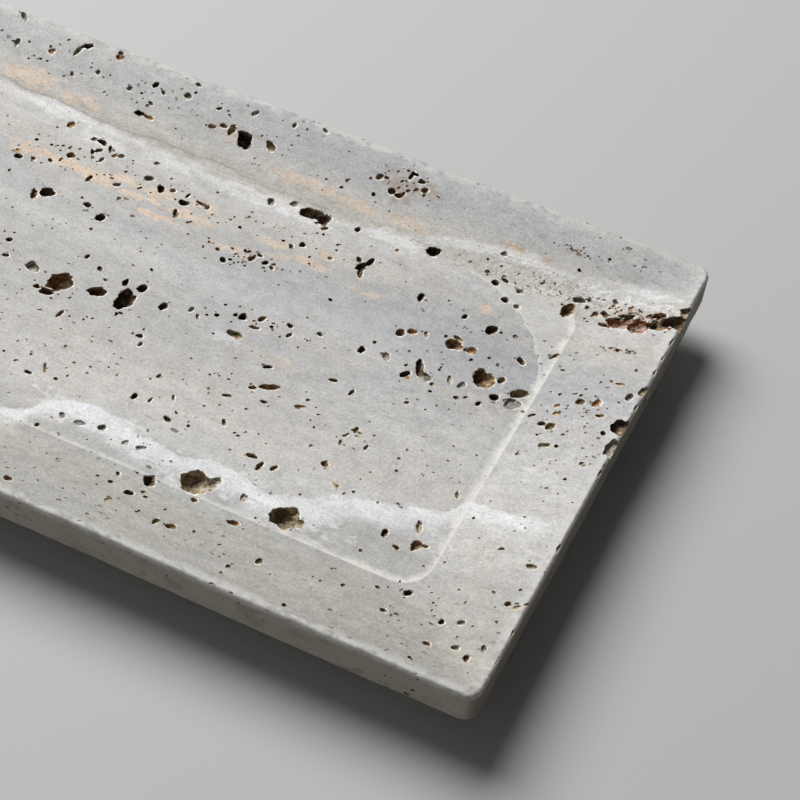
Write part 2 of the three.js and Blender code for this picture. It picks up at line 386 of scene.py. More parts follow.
@dataclass(frozen=True)
class TravertineFinish:
    """Honed, unfilled grey travertine.

    Spring limestone laid down in beds, so its tone runs in bands along the slab: cool grey, warm grey and
    cream, with white calcite where water opened a bed. Honing leaves it dull, with its pores open.
    """

    half_length: float
    half_width: float
    rim_z: float
    floor_z: float
    border: float
    crease_corner: float
    rim_corner: float
    wheel_radius: float

    # Tone of the beds from the front edge to the rear one, by their place across the slab in millimetres
    beds: tuple[tuple[float, str], ...] = (
        (-75, "#A8A69F"), (-54, "#AFADA5"), (-49, "#B4B2AE"), (-43, "#B6B5B2"), (-36, "#C9C7C3"),
        (-24, "#C6C3BE"), (-12, "#C1BEB9"), (-4, "#B6B5B3"), (4, "#BAB9B7"), (15, "#BCBBB9"),
        (23, "#AFB1B2"), (31, "#B6B4B1"), (39, "#C0BBB4"), (46, "#C4C2C0"), (52, "#BBB7AE"),
        (58, "#BEBAB3"), (65, "#B2B2B1"), (75, "#BCBCBA"),
    )
    # How far the beds are bent by slow folds and shaken by ripples, in millimetres from crest to trough
    folding: float = 14.0
    rippling: float = 8.0

    veins: tuple[Vein, ...] = (
        Vein("#E6E7E8", ((-150, -40), (-60, -50), (12, -49), (18, -46.5), (20, -42.5), (27, -38), (40, -38.4),
                         (49, -40.4), (58, -40.2), (67, -38.2), (74, -39.2), (81, -41.6), (94, -36),
                         (110, -29.6), (120, -27), (125, -20.4), (138, -21.6), (150, -20)),
             0.6, 9.5, 2.8, 0.92, (-150, 150)),
        Vein("#DEDEDE", ((-150, 48), (-50, 52), (0, 50), (40, 49), (66, 51.4), (77, 54), (93, 59), (112, 60),
                         (132, 61.6), (150, 64)),
             0.8, 4.6, 2.6, 0.62, (-60, 150)),
        # The next two bands darken the rear wall's foot by the crease: partly a stain, partly painted shade
        Vein("#A09A8C", ((-150, 54), (-40, 54.4), (0, 54.2), (40, 54.8), (70, 54.4), (95, 54), (150, 55)),
             1.2, 3.2, 2.2, 0.45, (-120, 80)),
        Vein("#7C705F", ((-150, 53), (-45, 53.4), (-20, 52.2), (10, 52.8), (40, 52), (150, 53)),
             0.25, 0.9, 1.4, 0.5, (-120, 60)),
    )
    vein_gaps: Ramp = Ramp(0.40, 0.56, 1.0, 0.55)
    vein_taper: float = 15.0
    # Share of its depth that a vein keeps in full
    vein_core: float = 0.2

    # A cloud's gradient falls from 1 at its middle to 0 at this many times its size
    cloud_reach: float = 4.0
    # How far noise frays a cloud, and where its edge lies, as shares of its size
    cloud_fray: float = 5.0
    cloud_edge: float = 0.8

    warm_drift: str = "#C9C1B6"
    cool_drift: str = "#ABACAC"
    dash: str = "#8A7C69"
    warm: Ramp = Ramp(0.52, 0.72, 0.45)
    cool: Ramp = Ramp(0.46, 0.30, 0.5)
    dashes: Ramp = Ramp(0.61, 0.75, 0.5)
    mean_tone: float = 0.965

    crease_dust: str = "#E9E6DE"
    wheel_dust: str = "#D2D0CB"
    # How thick the dust lies along the crease, by the place along the slab and across it
    dust_right: Ramp = Ramp(110, 121, 0.75)
    dust_left: Ramp = Ramp(-110, -121, 0.35)
    dust_front: Ramp = Ramp(60, 112, 0.75, 0.34)
    front_crease: tuple[float, float] = (-40.0, -48.0)
    before_rear: Ramp = Ramp(49, 46)
    dust_trail: Ramp = Ramp(-0.7, 1.5)
    dust_edge: Ramp = Ramp(0.25, -0.15)
    dust_shown: Ramp = Ramp(0.02, 0.3, 0.8)
    dust_width: float = 2.2
    dust_uneven: tuple[float, float] = (5.0, -1.6)
    # From here to here under the floor, the distance from the crease grows by this much
    under_floor: tuple[float, float] = (2.0, 4.0)
    out_of_reach: float = 100.0
    # The wheel leaves a paler corner behind a thin line: its fray, how far off the wheel it lies, its blur
    # and its half width
    wheel_fray: float = 3.0
    wheel_gap: float = 1.8
    wheel_blur: float = 0.6
    wheel_line: float = 0.45
    corner_share: float = 0.4
    line_share: float = 0.8
    inside_crease: Ramp = Ramp(0.5, -0.5)

    # The rim's upper edge is paler, partly from wear and partly as a painted highlight
    worn_and_highlit_edge: str = "#D2D0CC"
    sawn_face: str = "#998F80"
    # Painted shade: the right-hand end face is painted darker and browner
    end_painted_shade: str = "#5F5142"
    clay: str = "#7F6C55"
    sawn_share: float = 0.6
    end_shade_share: float = 0.7
    # How far below the rim's top the sawn face starts and is full, how far inside the right-hand end its
    # painted shade does, and how far below the rim's top the paler edge, worn and painted highlight, does
    face_below: tuple[float, float] = (1.0, 2.2)
    end_shade_within: tuple[float, float] = (2.5, 0.5)
    edge_below: tuple[float, float] = (1.8, 0.6)
    clay_patches: Ramp = Ramp(0.52, 0.66, 0.8)
    bruises: Ramp = Ramp(0.42, 0.56, 0.65)
    outermost: Ramp = Ramp(-0.6, -0.2)
    near_edge: Ramp = Ramp(-3.8, -1.0)

    # Painted shade in the froth's pits and painted light on its crests
    froth_pit_shade: str = "#857B6C"
    froth_crest_light: str = "#DEDCD8"
    froth_pits: Ramp = Ramp(0.46, 0.36, 0.7)
    froth_crests: Ramp = Ramp(0.54, 0.64, 0.7)

    # A pore's dark is partly its brown lining and partly painted shade
    pore: str = "#5E4F3C"
    iron_speck: str = "#8A6C48"
    pore_share: float = 0.8
    speck_share: float = 0.65
    crowding: Ramp = Ramp(0.38, 0.70, 0.8, 0.08)
    front_bed: Ramp = Ramp(-44, -54, 0.7, 0.05)
    # Pores and specks: the usual distance between them, and the largest one's radius
    fine_pores: tuple[float, float] = (1.4, 0.34)
    larger_pores: tuple[float, float] = (3.6, 0.6)
    iron_specks: tuple[float, float] = (2.6, 0.55)
    # A pore's outline: how fine and how strong its shake is beside its radius, how blurred, and how drawn out
    pore_ripple: float = 0.6
    pore_shake: float = 2.4
    pore_blur: float = 0.25
    pore_stretch: float = 0.62
    # How far past its chance of opening a pore has its full size
    pore_grown: float = 0.6

    # Painted shade: dark patches stand in for the shade of small hollows in a void's wall
    hollow_shade: str = "#3B2F24"
    crumb_pale: str = "#CDC8BD"
    mottle: Ramp = Ramp(0.36, 0.64, 1.6, 0.6)
    hollows: Ramp = Ramp(0.50, 0.40, 0.55)
    crumbs: Ramp = Ramp(0.54, 0.62, 0.7)

    dullness: Ramp = Ramp(0, 1, 0.72, 0.52)
    wall_dullness: float = 0.3
    refraction: float = 1.5
    # Heights of the relief in millimetres
    grain_height: float = 0.10
    streak_height: float = 0.10
    pore_height: float = -0.30
    cell_height: float = 0.25
    crust_height: float = 0.6

    def _paint(self, shading: StoneShading, colour: Feed, layers: Iterable[Layer]) -> Feed:
        """Lays colours over a colour, each where its mask lets it through.

        Args:
            shading: the tree that takes the nodes.
            colour: what lies lowest.
            layers: the colours and their masks, from the lowest up.

        Returns:
            The colour that all of them make.
        """
        for tint, mask in layers:
            colour = shading.add("Mix", {0: mask, 6: colour, 7: linear(tint)}, **COLOURS).outputs[2]
        return colour

    def _ground(self, shading: StoneShading) -> Feed:
        """Colours the beds, bent by slow folds and by the roughness of each bed.

        Args:
            shading: the tree that takes the nodes.

        Returns:
            The colour of the bed at each place.
        """
        folds = shading.wave((55, 38, 30), 2)
        ripple = shading.wave((24, 6, 8), 3)
        bend = shading.add("Math", {0: folds, 1: self.folding, 2: -self.folding / 2},
                           operation="MULTIPLY_ADD")
        bent = shading.add("Math", {0: shading.across, 1: bend}, operation="ADD")
        shake = shading.add("Math", {0: ripple, 1: self.rippling, 2: -self.rippling / 2},
                            operation="MULTIPLY_ADD")
        bed = shading.add("Math", {0: bent, 1: shake}, operation="ADD")
        share = shading.add("MapRange", {0: bed, 1: -self.half_width, 2: self.half_width})
        ramp = shading.add("ValToRGB", {0: share})
        stops = ramp.color_ramp.elements
        for index, (at, colour) in enumerate(self.beds):
            spot = (at + self.half_width) / (2 * self.half_width)
            stop = stops[index] if index < 2 else stops.new(spot)
            stop.position = spot
            stop.color = linear(colour)
        return ramp

    def _cloud_mask(self, shading: StoneShading, cloud: Cloud) -> Feed:
        """Masks a cloud.

        Args:
            shading: the tree that takes the nodes.
            cloud: its place and size.

        Returns:
            The cloud's strength inside it, and 0 outside.
        """
        long, wide = self.cloud_reach * cloud.long, self.cloud_reach * cloud.wide
        centre, scale = (-cloud.x / long, -cloud.y / wide, 0), (1 / long, 1 / wide, 0)
        centred = shading.add("Mapping", {"Vector": shading.spot, "Location": centre, "Scale": scale})
        # A gradient takes the place as it is: a vector's length would be converted first, and that many
        # conversions fill the renderer's stack
        near = shading.add("TexGradient", {"Vector": centred}, gradient_type="SPHERICAL").outputs["Fac"]
        fray = shading.add("Math", {0: shading.rag, 1: self.cloud_fray}, operation="MULTIPLY")
        frayed = shading.add("Math", {0: near, 1: -self.cloud_reach, 2: fray}, operation="MULTIPLY_ADD")
        edge = self.cloud_fray / 2 + self.cloud_edge - self.cloud_reach
        ramp = Ramp(edge + cloud.stain.soft, edge - cloud.stain.soft, cloud.strength)
        return shading.add("MapRange", ramp.of(frayed), **SMOOTH)

    def _vein_mask(self, shading: StoneShading, vein: Vein, rag: Feed) -> Feed:
        """Masks a vein.

        Args:
            shading: the tree that takes the nodes.
            vein: its edge and depth.
            rag: noise about a half that breaks up its edges.

        Returns:
            The vein's strength inside it, and 0 outside.
        """
        share = shading.add("MapRange", {0: shading.along, 1: -self.half_length, 2: self.half_length})
        curve = shading.add("FloatCurve", {"Value": share})
        line = curve.mapping.curves[0]
        long, wide = 2 * self.half_length, 2 * self.half_width
        places = [((x + self.half_length) / long, (y + self.half_width) / wide) for x, y in vein.edge]
        line.points[0].location, line.points[1].location = places[0], places[-1]
        for place in places[1:-1]:
            line.points.new(*place)
        curve.mapping.update()
        rear = shading.add("MapRange", {0: curve, 3: -self.half_width, 4: self.half_width})
        within = shading.add("Math", {0: rear, 1: shading.across}, operation="SUBTRACT")
        # The noise strays about a quarter either way, which moves the edge by ragged
        swing = 4 * vein.ragged
        frayed = shading.add("Math", {0: rag, 1: swing, 2: within}, operation="MULTIPLY_ADD")
        start = swing / 2
        edge = shading.add("MapRange", Ramp(start - vein.soft, start + vein.soft).of(frayed), **SMOOTH)
        fading = Ramp(start + vein.depth, start + self.vein_core * vein.depth, vein.strength)
        fade = shading.add("MapRange", fading.of(frayed), **SMOOTH)
        broken = shading.add("MapRange", self.vein_gaps.of(rag))
        first, last = vein.span[0], vein.span[1] + 1
        begun = shading.add("MapRange", Ramp(first, first + self.vein_taper).of(shading.along))
        ended = shading.add("MapRange", Ramp(last, last - self.vein_taper).of(shading.along))
        mask = edge
        for part in (broken, fade, begun, ended):
            mask = shading.add("Math", {0: mask, 1: part}, operation="MULTIPLY")
        return mask

    def _stains(self, shading: StoneShading) -> Iterator[Layer]:
        """Yields the warm and cool drifts, then the clouds and veins that this slab has.

        Args:
            shading: the tree that takes the nodes.

        Yields:
            Each colour with its mask.
        """
        drift = shading.wave((34, 15, 15), 3)
        yield self.warm_drift, shading.add("MapRange", self.warm.of(drift), **SMOOTH)
        yield self.cool_drift, shading.add("MapRange", self.cool.of(drift), **SMOOTH)
        for cloud in CLOUDS:
            yield cloud.stain.colour, self._cloud_mask(shading, cloud)
        calm = shading.fray(0.75)
        for vein in self.veins:
            yield vein.colour, self._vein_mask(shading, vein, calm)

    def _grained(self, shading: StoneShading, colour: Feed) -> tuple[Feed, Feed, Feed]:
        """Varies the tone in streaks and dashes along the beds, in blotches and in a fine grain.

        Args:
            shading: the tree that takes the nodes.
            colour: the stained beds.

        Returns:
            The varied colour, the streaks and the grain.
        """
        streak = shading.wave((38, 3.0, 3.4), 5)
        dash = shading.wave((7, 0.8, 1.0), 3)
        # The stone's crystals are too fine to show, so grain and sand are drawn coarser than they are
        grain = shading.wave((0.9, 0.75, 0.75), 3)
        sand = shading.wave((0.34, 0.34, 0.34), 1)
        speckle = shading.wave((4.0, 2.8, 2.8), 4)
        patterns = ((streak, 0.28), (dash, 0.12), (grain, 0.65), (sand, 0.65), (speckle, 0.5))
        tone = self.mean_tone - sum(share for _, share in patterns) / 2
        for pattern, share in patterns:
            tone = shading.add("Math", {0: pattern, 1: share, 2: tone}, operation="MULTIPLY_ADD")
        toned = shading.add("HueSaturation", {"Value": tone, "Color": colour})
        dashed = shading.add("MapRange", self.dashes.of(dash), **SMOOTH)
        return self._paint(shading, toned, [(self.dash, dashed)]), streak, grain

    def _out_from(self, shading: StoneShading, half: tuple[float, float], corner: float) -> Feed:
        """Measures the distance out from a rectangle with round corners.

        Args:
            shading: the tree that takes the nodes.
            half: the rectangle's half length and half width.
            corner: the radius of its corners.

        Returns:
            Millimetres outside the rectangle, negative inside it.
        """
        past = []
        for place, reach in zip((shading.along, shading.across), half):
            size = shading.add("Math", {0: place}, operation="ABSOLUTE")
            past.append(shading.add("Math", {0: size, 1: reach - corner}, operation="SUBTRACT"))
        outside = [shading.add("Math", {0: way, 1: 0.0}, operation="MAXIMUM") for way in past]
        flat = shading.add("CombineXYZ", {0: outside[0], 1: outside[1]})
        reach = shading.add("VectorMath", {0: flat}, operation="LENGTH").outputs["Value"]
        deepest = shading.add("Math", {0: past[0], 1: past[1]}, operation="MAXIMUM")
        inside = shading.add("Math", {0: deepest, 1: 0.0}, operation="MINIMUM")
        both = shading.add("Math", {0: reach, 1: inside}, operation="ADD")
        return shading.add("Math", {0: both, 1: corner}, operation="SUBTRACT")

    def _wheel_sweep(self, shading: StoneShading, off_crease: Feed) -> Feed:
        """Masks the corner of the floor that the round grinding wheel couldn't reach, which stays paler.

        Args:
            shading: the tree that takes the nodes.
            off_crease: distance out from the crease.

        Returns:
            The corner's strength.
        """
        past = []
        for place, half in ((shading.along, self.half_length), (shading.across, self.half_width)):
            middle = half - self.border - self.wheel_radius
            way = shading.add("Math", {0: place, 1: middle}, operation="SUBTRACT")
            past.append(shading.add("Math", {0: way, 1: 0.0}, operation="MAXIMUM"))
        flat = shading.add("CombineXYZ", {0: past[0], 1: past[1]})
        swept = shading.add("VectorMath", {0: flat}, operation="LENGTH").outputs["Value"]
        frayed = shading.add("Math", {0: shading.rag, 1: self.wheel_fray, 2: swept}, operation="MULTIPLY_ADD")
        edge = self.wheel_radius + self.wheel_gap
        ramp = Ramp(edge - self.wheel_blur, edge + self.wheel_blur, self.corner_share)
        beyond = shading.add("MapRange", ramp.of(frayed), **SMOOTH)
        line = shading.add("Math", {0: frayed, 1: edge, 2: self.wheel_line}, operation="COMPARE")
        arc = shading.add("Math", {0: line, 1: self.line_share}, operation="MULTIPLY")
        either = shading.add("Math", {0: beyond, 1: arc}, operation="MAXIMUM")
        within = shading.add("MapRange", self.inside_crease.of(off_crease))
        return shading.add("Math", {0: either, 1: within}, operation="MULTIPLY")

    def _crease_line(self, shading: StoneShading, off_crease: Feed) -> Feed:
        """Masks the pale line in the crease, thickest at the right-hand end and fine along the front.

        Args:
            shading: the tree that takes the nodes.
            off_crease: distance out from the crease.

        Returns:
            The line's strength.
        """
        right = shading.add("MapRange", self.dust_right.of(shading.along))
        left = shading.add("MapRange", self.dust_left.of(shading.along))
        frontal = shading.add("MapRange", self.dust_front.of(shading.along))
        start, full = self.front_crease
        front = shading.add("MapRange", {0: shading.across, 1: start, 2: full, 4: frontal})
        thick = shading.add("Math", {0: right, 1: front}, operation="MAXIMUM")
        thick = shading.add("Math", {0: thick, 1: left}, operation="MAXIMUM")
        swing, level = self.dust_uneven
        uneven = shading.add("Math", {0: shading.rag, 1: swing, 2: level}, operation="MULTIPLY_ADD")
        thick = shading.add("Math", {0: thick, 1: uneven}, operation="MULTIPLY")
        inward = shading.add("Math", {0: thick, 1: self.dust_width, 2: off_crease}, operation="MULTIPLY_ADD")
        trailing = shading.add("MapRange", self.dust_trail.of(inward))
        crisp = shading.add("MapRange", self.dust_edge.of(off_crease), **SMOOTH)
        shown = shading.add("MapRange", self.dust_shown.of(thick))
        forward = shading.add("MapRange", self.before_rear.of(shading.across))
        line = trailing
        for part in (crisp, shown, forward):
            line = shading.add("Math", {0: line, 1: part}, operation="MULTIPLY")
        return line

    def _dust(self, shading: StoneShading) -> Iterator[Layer]:
        """Yields the dust of the grinding, in the corner and in the crease.

        Args:
            shading: the tree that takes the nodes.

        Yields:
            Each colour with its mask.
        """
        floor = (self.half_length - self.border, self.half_width - self.border)
        out = self._out_from(shading, floor, self.crease_corner)
        # Under the floor everything counts as far from the crease, which keeps the dust off the underside
        start, full = (self.floor_z - below for below in self.under_floor)
        below = shading.add("MapRange", Ramp(start, full, self.out_of_reach).of(shading.height))
        off_crease = shading.add("Math", {0: out, 1: below}, operation="ADD")
        yield self.wheel_dust, self._wheel_sweep(shading, off_crease)
        yield self.crease_dust, self._crease_line(shading, off_crease)

    def _faces(self, shading: StoneShading) -> Iterator[Layer]:
        """Yields the browner sawn faces, the painted shade of the right-hand end, and the paler edge of the
        rim, which is partly wear and partly a painted highlight.

        Args:
            shading: the tree that takes the nodes.

        Yields:
            Each colour with its mask.
        """
        off_rim = self._out_from(shading, (self.half_length, self.half_width), self.rim_corner)
        lower = Ramp(*(self.rim_z - below for below in self.face_below))
        on_face = shading.add("MapRange", lower.of(shading.height), **SMOOTH)
        outer = shading.add("MapRange", self.outermost.of(off_rim))
        face = shading.add("Math", {0: on_face, 1: outer}, operation="MULTIPLY")
        # Painted shade on the right-hand end face
        last = Ramp(*(self.half_length - inset for inset in self.end_shade_within), self.end_shade_share)
        end = shading.add("MapRange", last.of(shading.along))
        end = shading.add("Math", {0: end, 1: face}, operation="MULTIPLY")
        sawn = shading.add("Math", {0: face, 1: self.sawn_share}, operation="MULTIPLY")
        yield self.sawn_face, sawn
        clay = shading.add("MapRange", self.clay_patches.of(shading.slow), **SMOOTH)
        yield self.clay, shading.add("Math", {0: clay, 1: sawn}, operation="MULTIPLY")
        yield self.end_painted_shade, end
        # The paler upper edge of the rim: partly wear, partly a painted highlight
        edge = shading.add("MapRange", self.near_edge.of(off_rim), **SMOOTH)
        upper = Ramp(*(self.rim_z - below for below in self.edge_below))
        high = shading.add("MapRange", upper.of(shading.height))
        handled_and_highlit = shading.add("Math", {0: edge, 1: high}, operation="MULTIPLY")
        bruised = shading.add("MapRange", self.bruises.of(shading.rag), **SMOOTH)
        yield self.worn_and_highlit_edge, shading.add("Math", {0: handled_and_highlit, 1: bruised}, operation="MULTIPLY")

    def _cells(self, shading: StoneShading, froth: Feed, bed: Feed) -> Iterator[Layer]:
        """Yields painted shade in the pits and painted light on the crests of the porous bed's froth.

        Args:
            shading: the tree that takes the nodes.
            froth: noise as fine as the cells.
            bed: where the porous bed is.

        Yields:
            Each colour with its mask.
        """
        for tint, ramp in ((self.froth_pit_shade, self.froth_pits), (self.froth_crest_light, self.froth_crests)):
            cells = shading.add("MapRange", ramp.of(froth), **SMOOTH)
            yield tint, shading.add("Math", {0: cells, 1: bed}, operation="MULTIPLY")

    def _pores(self, shading: StoneShading, spacing: float, radius: float, crowd: Feed) -> Feed:
        """Scatters uneven pores that the surface cuts through at any height.

        Args:
            shading: the tree that takes the nodes.
            spacing: the usual distance between pores, in millimetres.
            radius: the largest pore's radius.
            crowd: from 0 to 1, how many of the pores open.

        Returns:
            1 in a pore, 0 beside it.
        """
        ripple = self.pore_ripple / radius
        shake = shading.add("TexNoise", {"Vector": shading.spot, "Scale": ripple, "Detail": 2.0})
        shaken = shading.add("VectorMath", {0: shake.outputs["Color"], 1: (0.5,) * 3}, operation="SUBTRACT")
        moved = shading.add("VectorMath", {0: shaken, 1: (self.pore_shake * radius,) * 3, 2: shading.spot},
                            operation="MULTIPLY_ADD")
        scale = (self.pore_stretch / spacing, 1 / spacing, 1 / spacing)
        drawn_out = shading.add("Mapping", {"Vector": moved, "Scale": scale})
        cells = shading.add("TexVoronoi", {"Vector": drawn_out, "Scale": 1.0})
        chance = shading.add("SeparateColor", {0: cells.outputs["Color"]})
        opened = shading.add("Math", {0: crowd, 1: chance}, operation="SUBTRACT")
        size = shading.add("MapRange", Ramp(0.0, self.pore_grown, radius / spacing).of(opened))
        depth = shading.add("Math", {0: size, 1: cells.outputs["Distance"]}, operation="SUBTRACT")
        return shading.add("MapRange", Ramp(0.0, self.pore_blur * radius / spacing).of(depth), **SMOOTH)

    def _specks(self, shading: StoneShading, pores: Feed) -> Iterator[Layer]:
        """Yields the dark of the pores, partly a brown lining and partly painted shade, then the specks of
        iron, which crowd along the front.

        Args:
            shading: the tree that takes the nodes.
            pores: 1 in a pore, 0 beside it.

        Yields:
            Each colour with its mask.
        """
        yield self.pore, shading.add("Math", {0: pores, 1: self.pore_share}, operation="MULTIPLY")
        front = shading.add("MapRange", self.front_bed.of(shading.across))
        specks = self._pores(shading, *self.iron_specks, front)
        yield self.iron_speck, shading.add("Math", {0: specks, 1: self.speck_share}, operation="MULTIPLY")

    def _crumbled(self, shading: StoneShading) -> Iterator[Layer]:
        """Yields the painted shade of small hollows and the pale crumbs of a void's wall.

        Args:
            shading: the tree that takes the nodes.

        Yields:
            Each colour with its mask.
        """
        for tint, ramp in ((self.hollow_shade, self.hollows), (self.crumb_pale, self.crumbs)):
            yield tint, shading.add("MapRange", ramp.of(shading.crumb), **SMOOTH)

    def make(self) -> bpy.types.Material:
        """Builds the stone's material.

        Returns:
            The material.
        """
        shading = StoneShading(bpy.data.materials.new("honed_travertine"))
        colour = self._paint(shading, self._ground(shading), self._stains(shading))
        colour, streak, grain = self._grained(shading, colour)
        colour = self._paint(shading, colour, self._dust(shading))
        colour = self._paint(shading, colour, self._faces(shading))

        # The porous bed, where the stone is a froth of small cells
        froth = shading.wave((0.8, 0.7, 0.7), 3)
        beds = [self._cloud_mask(shading, cloud) for cloud in POROUS_BEDS]
        bed = shading.add("Math", {0: beds[0], 1: beds[1]}, operation="MAXIMUM")
        colour = self._paint(shading, colour, self._cells(shading, froth, bed))
        cells = shading.add("Math", {0: froth, 1: bed}, operation="MULTIPLY")

        # Pores too small to carve
        crowd = shading.add("MapRange", self.crowding.of(shading.wave((30, 9, 9), 2)))
        fine = self._pores(shading, *self.fine_pores, crowd)
        larger = self._pores(shading, *self.larger_pores, crowd)
        pores = shading.add("Math", {0: fine, 1: larger}, operation="MAXIMUM")
        colour = self._paint(shading, colour, self._specks(shading, pores))

        # The lining of the carved voids comes with the mesh, with painted highlights on the lips and
        # painted shade deeper in the walls
        lining = shading.add("Attribute", attribute_name="lining")
        walls = lining.outputs["Alpha"]
        patchy = shading.add("MapRange", self.mottle.of(froth))
        wall = shading.add("HueSaturation", {"Value": patchy, "Color": lining.outputs["Color"]})
        wall = self._paint(shading, wall, self._crumbled(shading))
        lined = shading.add("Mix", {0: walls, 6: colour, 7: wall}, **COLOURS).outputs[2]

        dull = shading.add("MapRange", self.dullness.of(streak))
        rough = shading.add("Math", {0: walls, 1: self.wall_dullness, 2: dull}, operation="MULTIPLY_ADD")
        crust = shading.add("Math", {0: froth, 1: walls}, operation="MULTIPLY")
        heights = ((grain, self.grain_height), (streak, self.streak_height), (pores, self.pore_height),
                   (cells, self.cell_height), (crust, self.crust_height))
        relief = 0.0
        for pattern, height in heights:
            relief = shading.add("Math", {0: pattern, 1: height, 2: relief}, operation="MULTIPLY_ADD")
        bump = shading.add("Bump", {"Strength": 1.0, "Distance": MM, "Height": relief})
        looks = {"Base Color": lined, "Roughness": rough, "IOR": self.refraction, "Normal": bump}
        return shading.finish(shading.add("BsdfPrincipled", looks))


@dataclass(frozen=True)
class FeltFinish:
    """Pressed wool felt: matted fibres with no weave, so a soft mottled grey that never shines.

    Wool fibres are too fine to show, so they are drawn several times as thick.
    """

    fibre: str = "#6F6A61"
    pale_fibre: str = "#8D877C"
    fibre_length: float = 2.4
    fibre_width: float = 0.22
    # The ways the fibres lie, in radians
    tilt: tuple[float, float] = (0.2, 0.1)
    turns: tuple[float, ...] = (0.4, 1.5, 2.6)
    paleness: Ramp = Ramp(0.45, 0.75)
    relief: float = 0.25
    roughness: float = 0.95
    sheen: float = 0.3

    def make(self) -> bpy.types.Material:
        """Builds the felt's material.

        Returns:
            The material.
        """
        shading = Shading(bpy.data.materials.new("pressed_wool_felt"))
        place = shading.place()
        scale = (1 / self.fibre_length, 1 / self.fibre_width, 1 / self.fibre_width)
        mat = 0.0
        for turn in self.turns:
            lie = (*self.tilt, turn)
            squeezed = shading.add("Mapping", {"Vector": place, "Rotation": lie, "Scale": scale})
            fibres = shading.add("TexNoise", {"Vector": squeezed, "Scale": 1.0, "Detail": 2.0})
            mat = shading.add("Math", {0: fibres, 1: mat}, operation="MAXIMUM")
        lit = shading.add("MapRange", self.paleness.of(mat))
        mixed = shading.add("Mix", {0: lit, 6: linear(self.fibre), 7: linear(self.pale_fibre)}, **COLOURS)
        bump = shading.add("Bump", {"Strength": 1.0, "Distance": self.relief * MM, "Height": mat})
        looks = {"Base Color": mixed.outputs[2], "Roughness": self.roughness, "Sheen Weight": self.sheen,
                 "Normal": bump}
        return shading.finish(shading.add("BsdfPrincipled", looks))


@dataclass(frozen=True)
class AdhesiveFinish:
    """Acrylic transfer film: pale amber, slightly cloudy, with a soft gloss at its cut edge."""

    film: str = "#D8CDB0"
    cloud: str = "#C6B68F"
    cloud_size: float = 2.5
    roughness: float = 0.35
    refraction: float = 1.48

    def make(self) -> bpy.types.Material:
        """Builds the film's material.

        Returns:
            The material.
        """
        shading = Shading(bpy.data.materials.new("acrylic_transfer_film"))
        place = shading.place()
        cloudy = shading.add("TexNoise", {"Vector": place, "Scale": 1 / self.cloud_size, "Detail": 3.0})
        mixed = shading.add("Mix", {0: cloudy, 6: linear(self.film), 7: linear(self.cloud)}, **COLOURS)
        looks = {"Base Color": mixed.outputs[2], "Roughness": self.roughness, "IOR": self.refraction}
        return shading.finish(shading.add("BsdfPrincipled", looks))


@dataclass(frozen=True)
class Void:
    """A natural void open to the surface: its place, its mouth, its depth, its turn and its lining."""

    x: float
    y: float
    long: float
    wide: float
    deep: float
    turn: float
    lining: Lining


# The voids that were placed one by one, as rows of the fields above
SEAM_AND_NOTCHES = (
    (134.8, 48.9, 7.6, 4, 2.4, 4, RUST), (139.8, 48.8, 6.4, 4.4, 2.6, 18, RUST),
    (144.6, 51.2, 5.6, 4, 2.6, 20, UMBER), (138.9, 48.1, 3.8, 2.4, 2.6, 8, DARK),
    (143.8, 51, 3, 2.8, 2.8, 60, DARK), (136.4, 50.6, 3, 2.2, 2.2, 30, UMBER),
    (131.6, 47.2, 3.4, 1.2, 1.2, -12, UMBER), (135.8, 51.9, 4.2, 1.3, 1.8, 14, DARK),
    (143.6, 54, 3.6, 2.2, 2, 20, UMBER), (146.8, 53.6, 2.8, 1.6, 1.6, 40, DARK),
    (149.5, 52.6, 5.4, 4.2, 3, 85, DARK), (149.7, 57, 4, 2.4, 1.4, 85, OLIVE),
    (121, 48.7, 5, 3.4, 2.4, 80, UMBER), (122.3, 53.2, 3.2, 1.8, 1.4, 10, GREY),
    (131.2, 55.8, 2.2, 1.2, 1.2, -50, GREY), (149.5, 13, 5.4, 3, 3, 80, DARK),
    (149.8, 5.4, 6, 2.2, 2.4, 88, GREY), (149.9, 26.4, 3.6, 1.5, 1, 85, OLIVE),
)
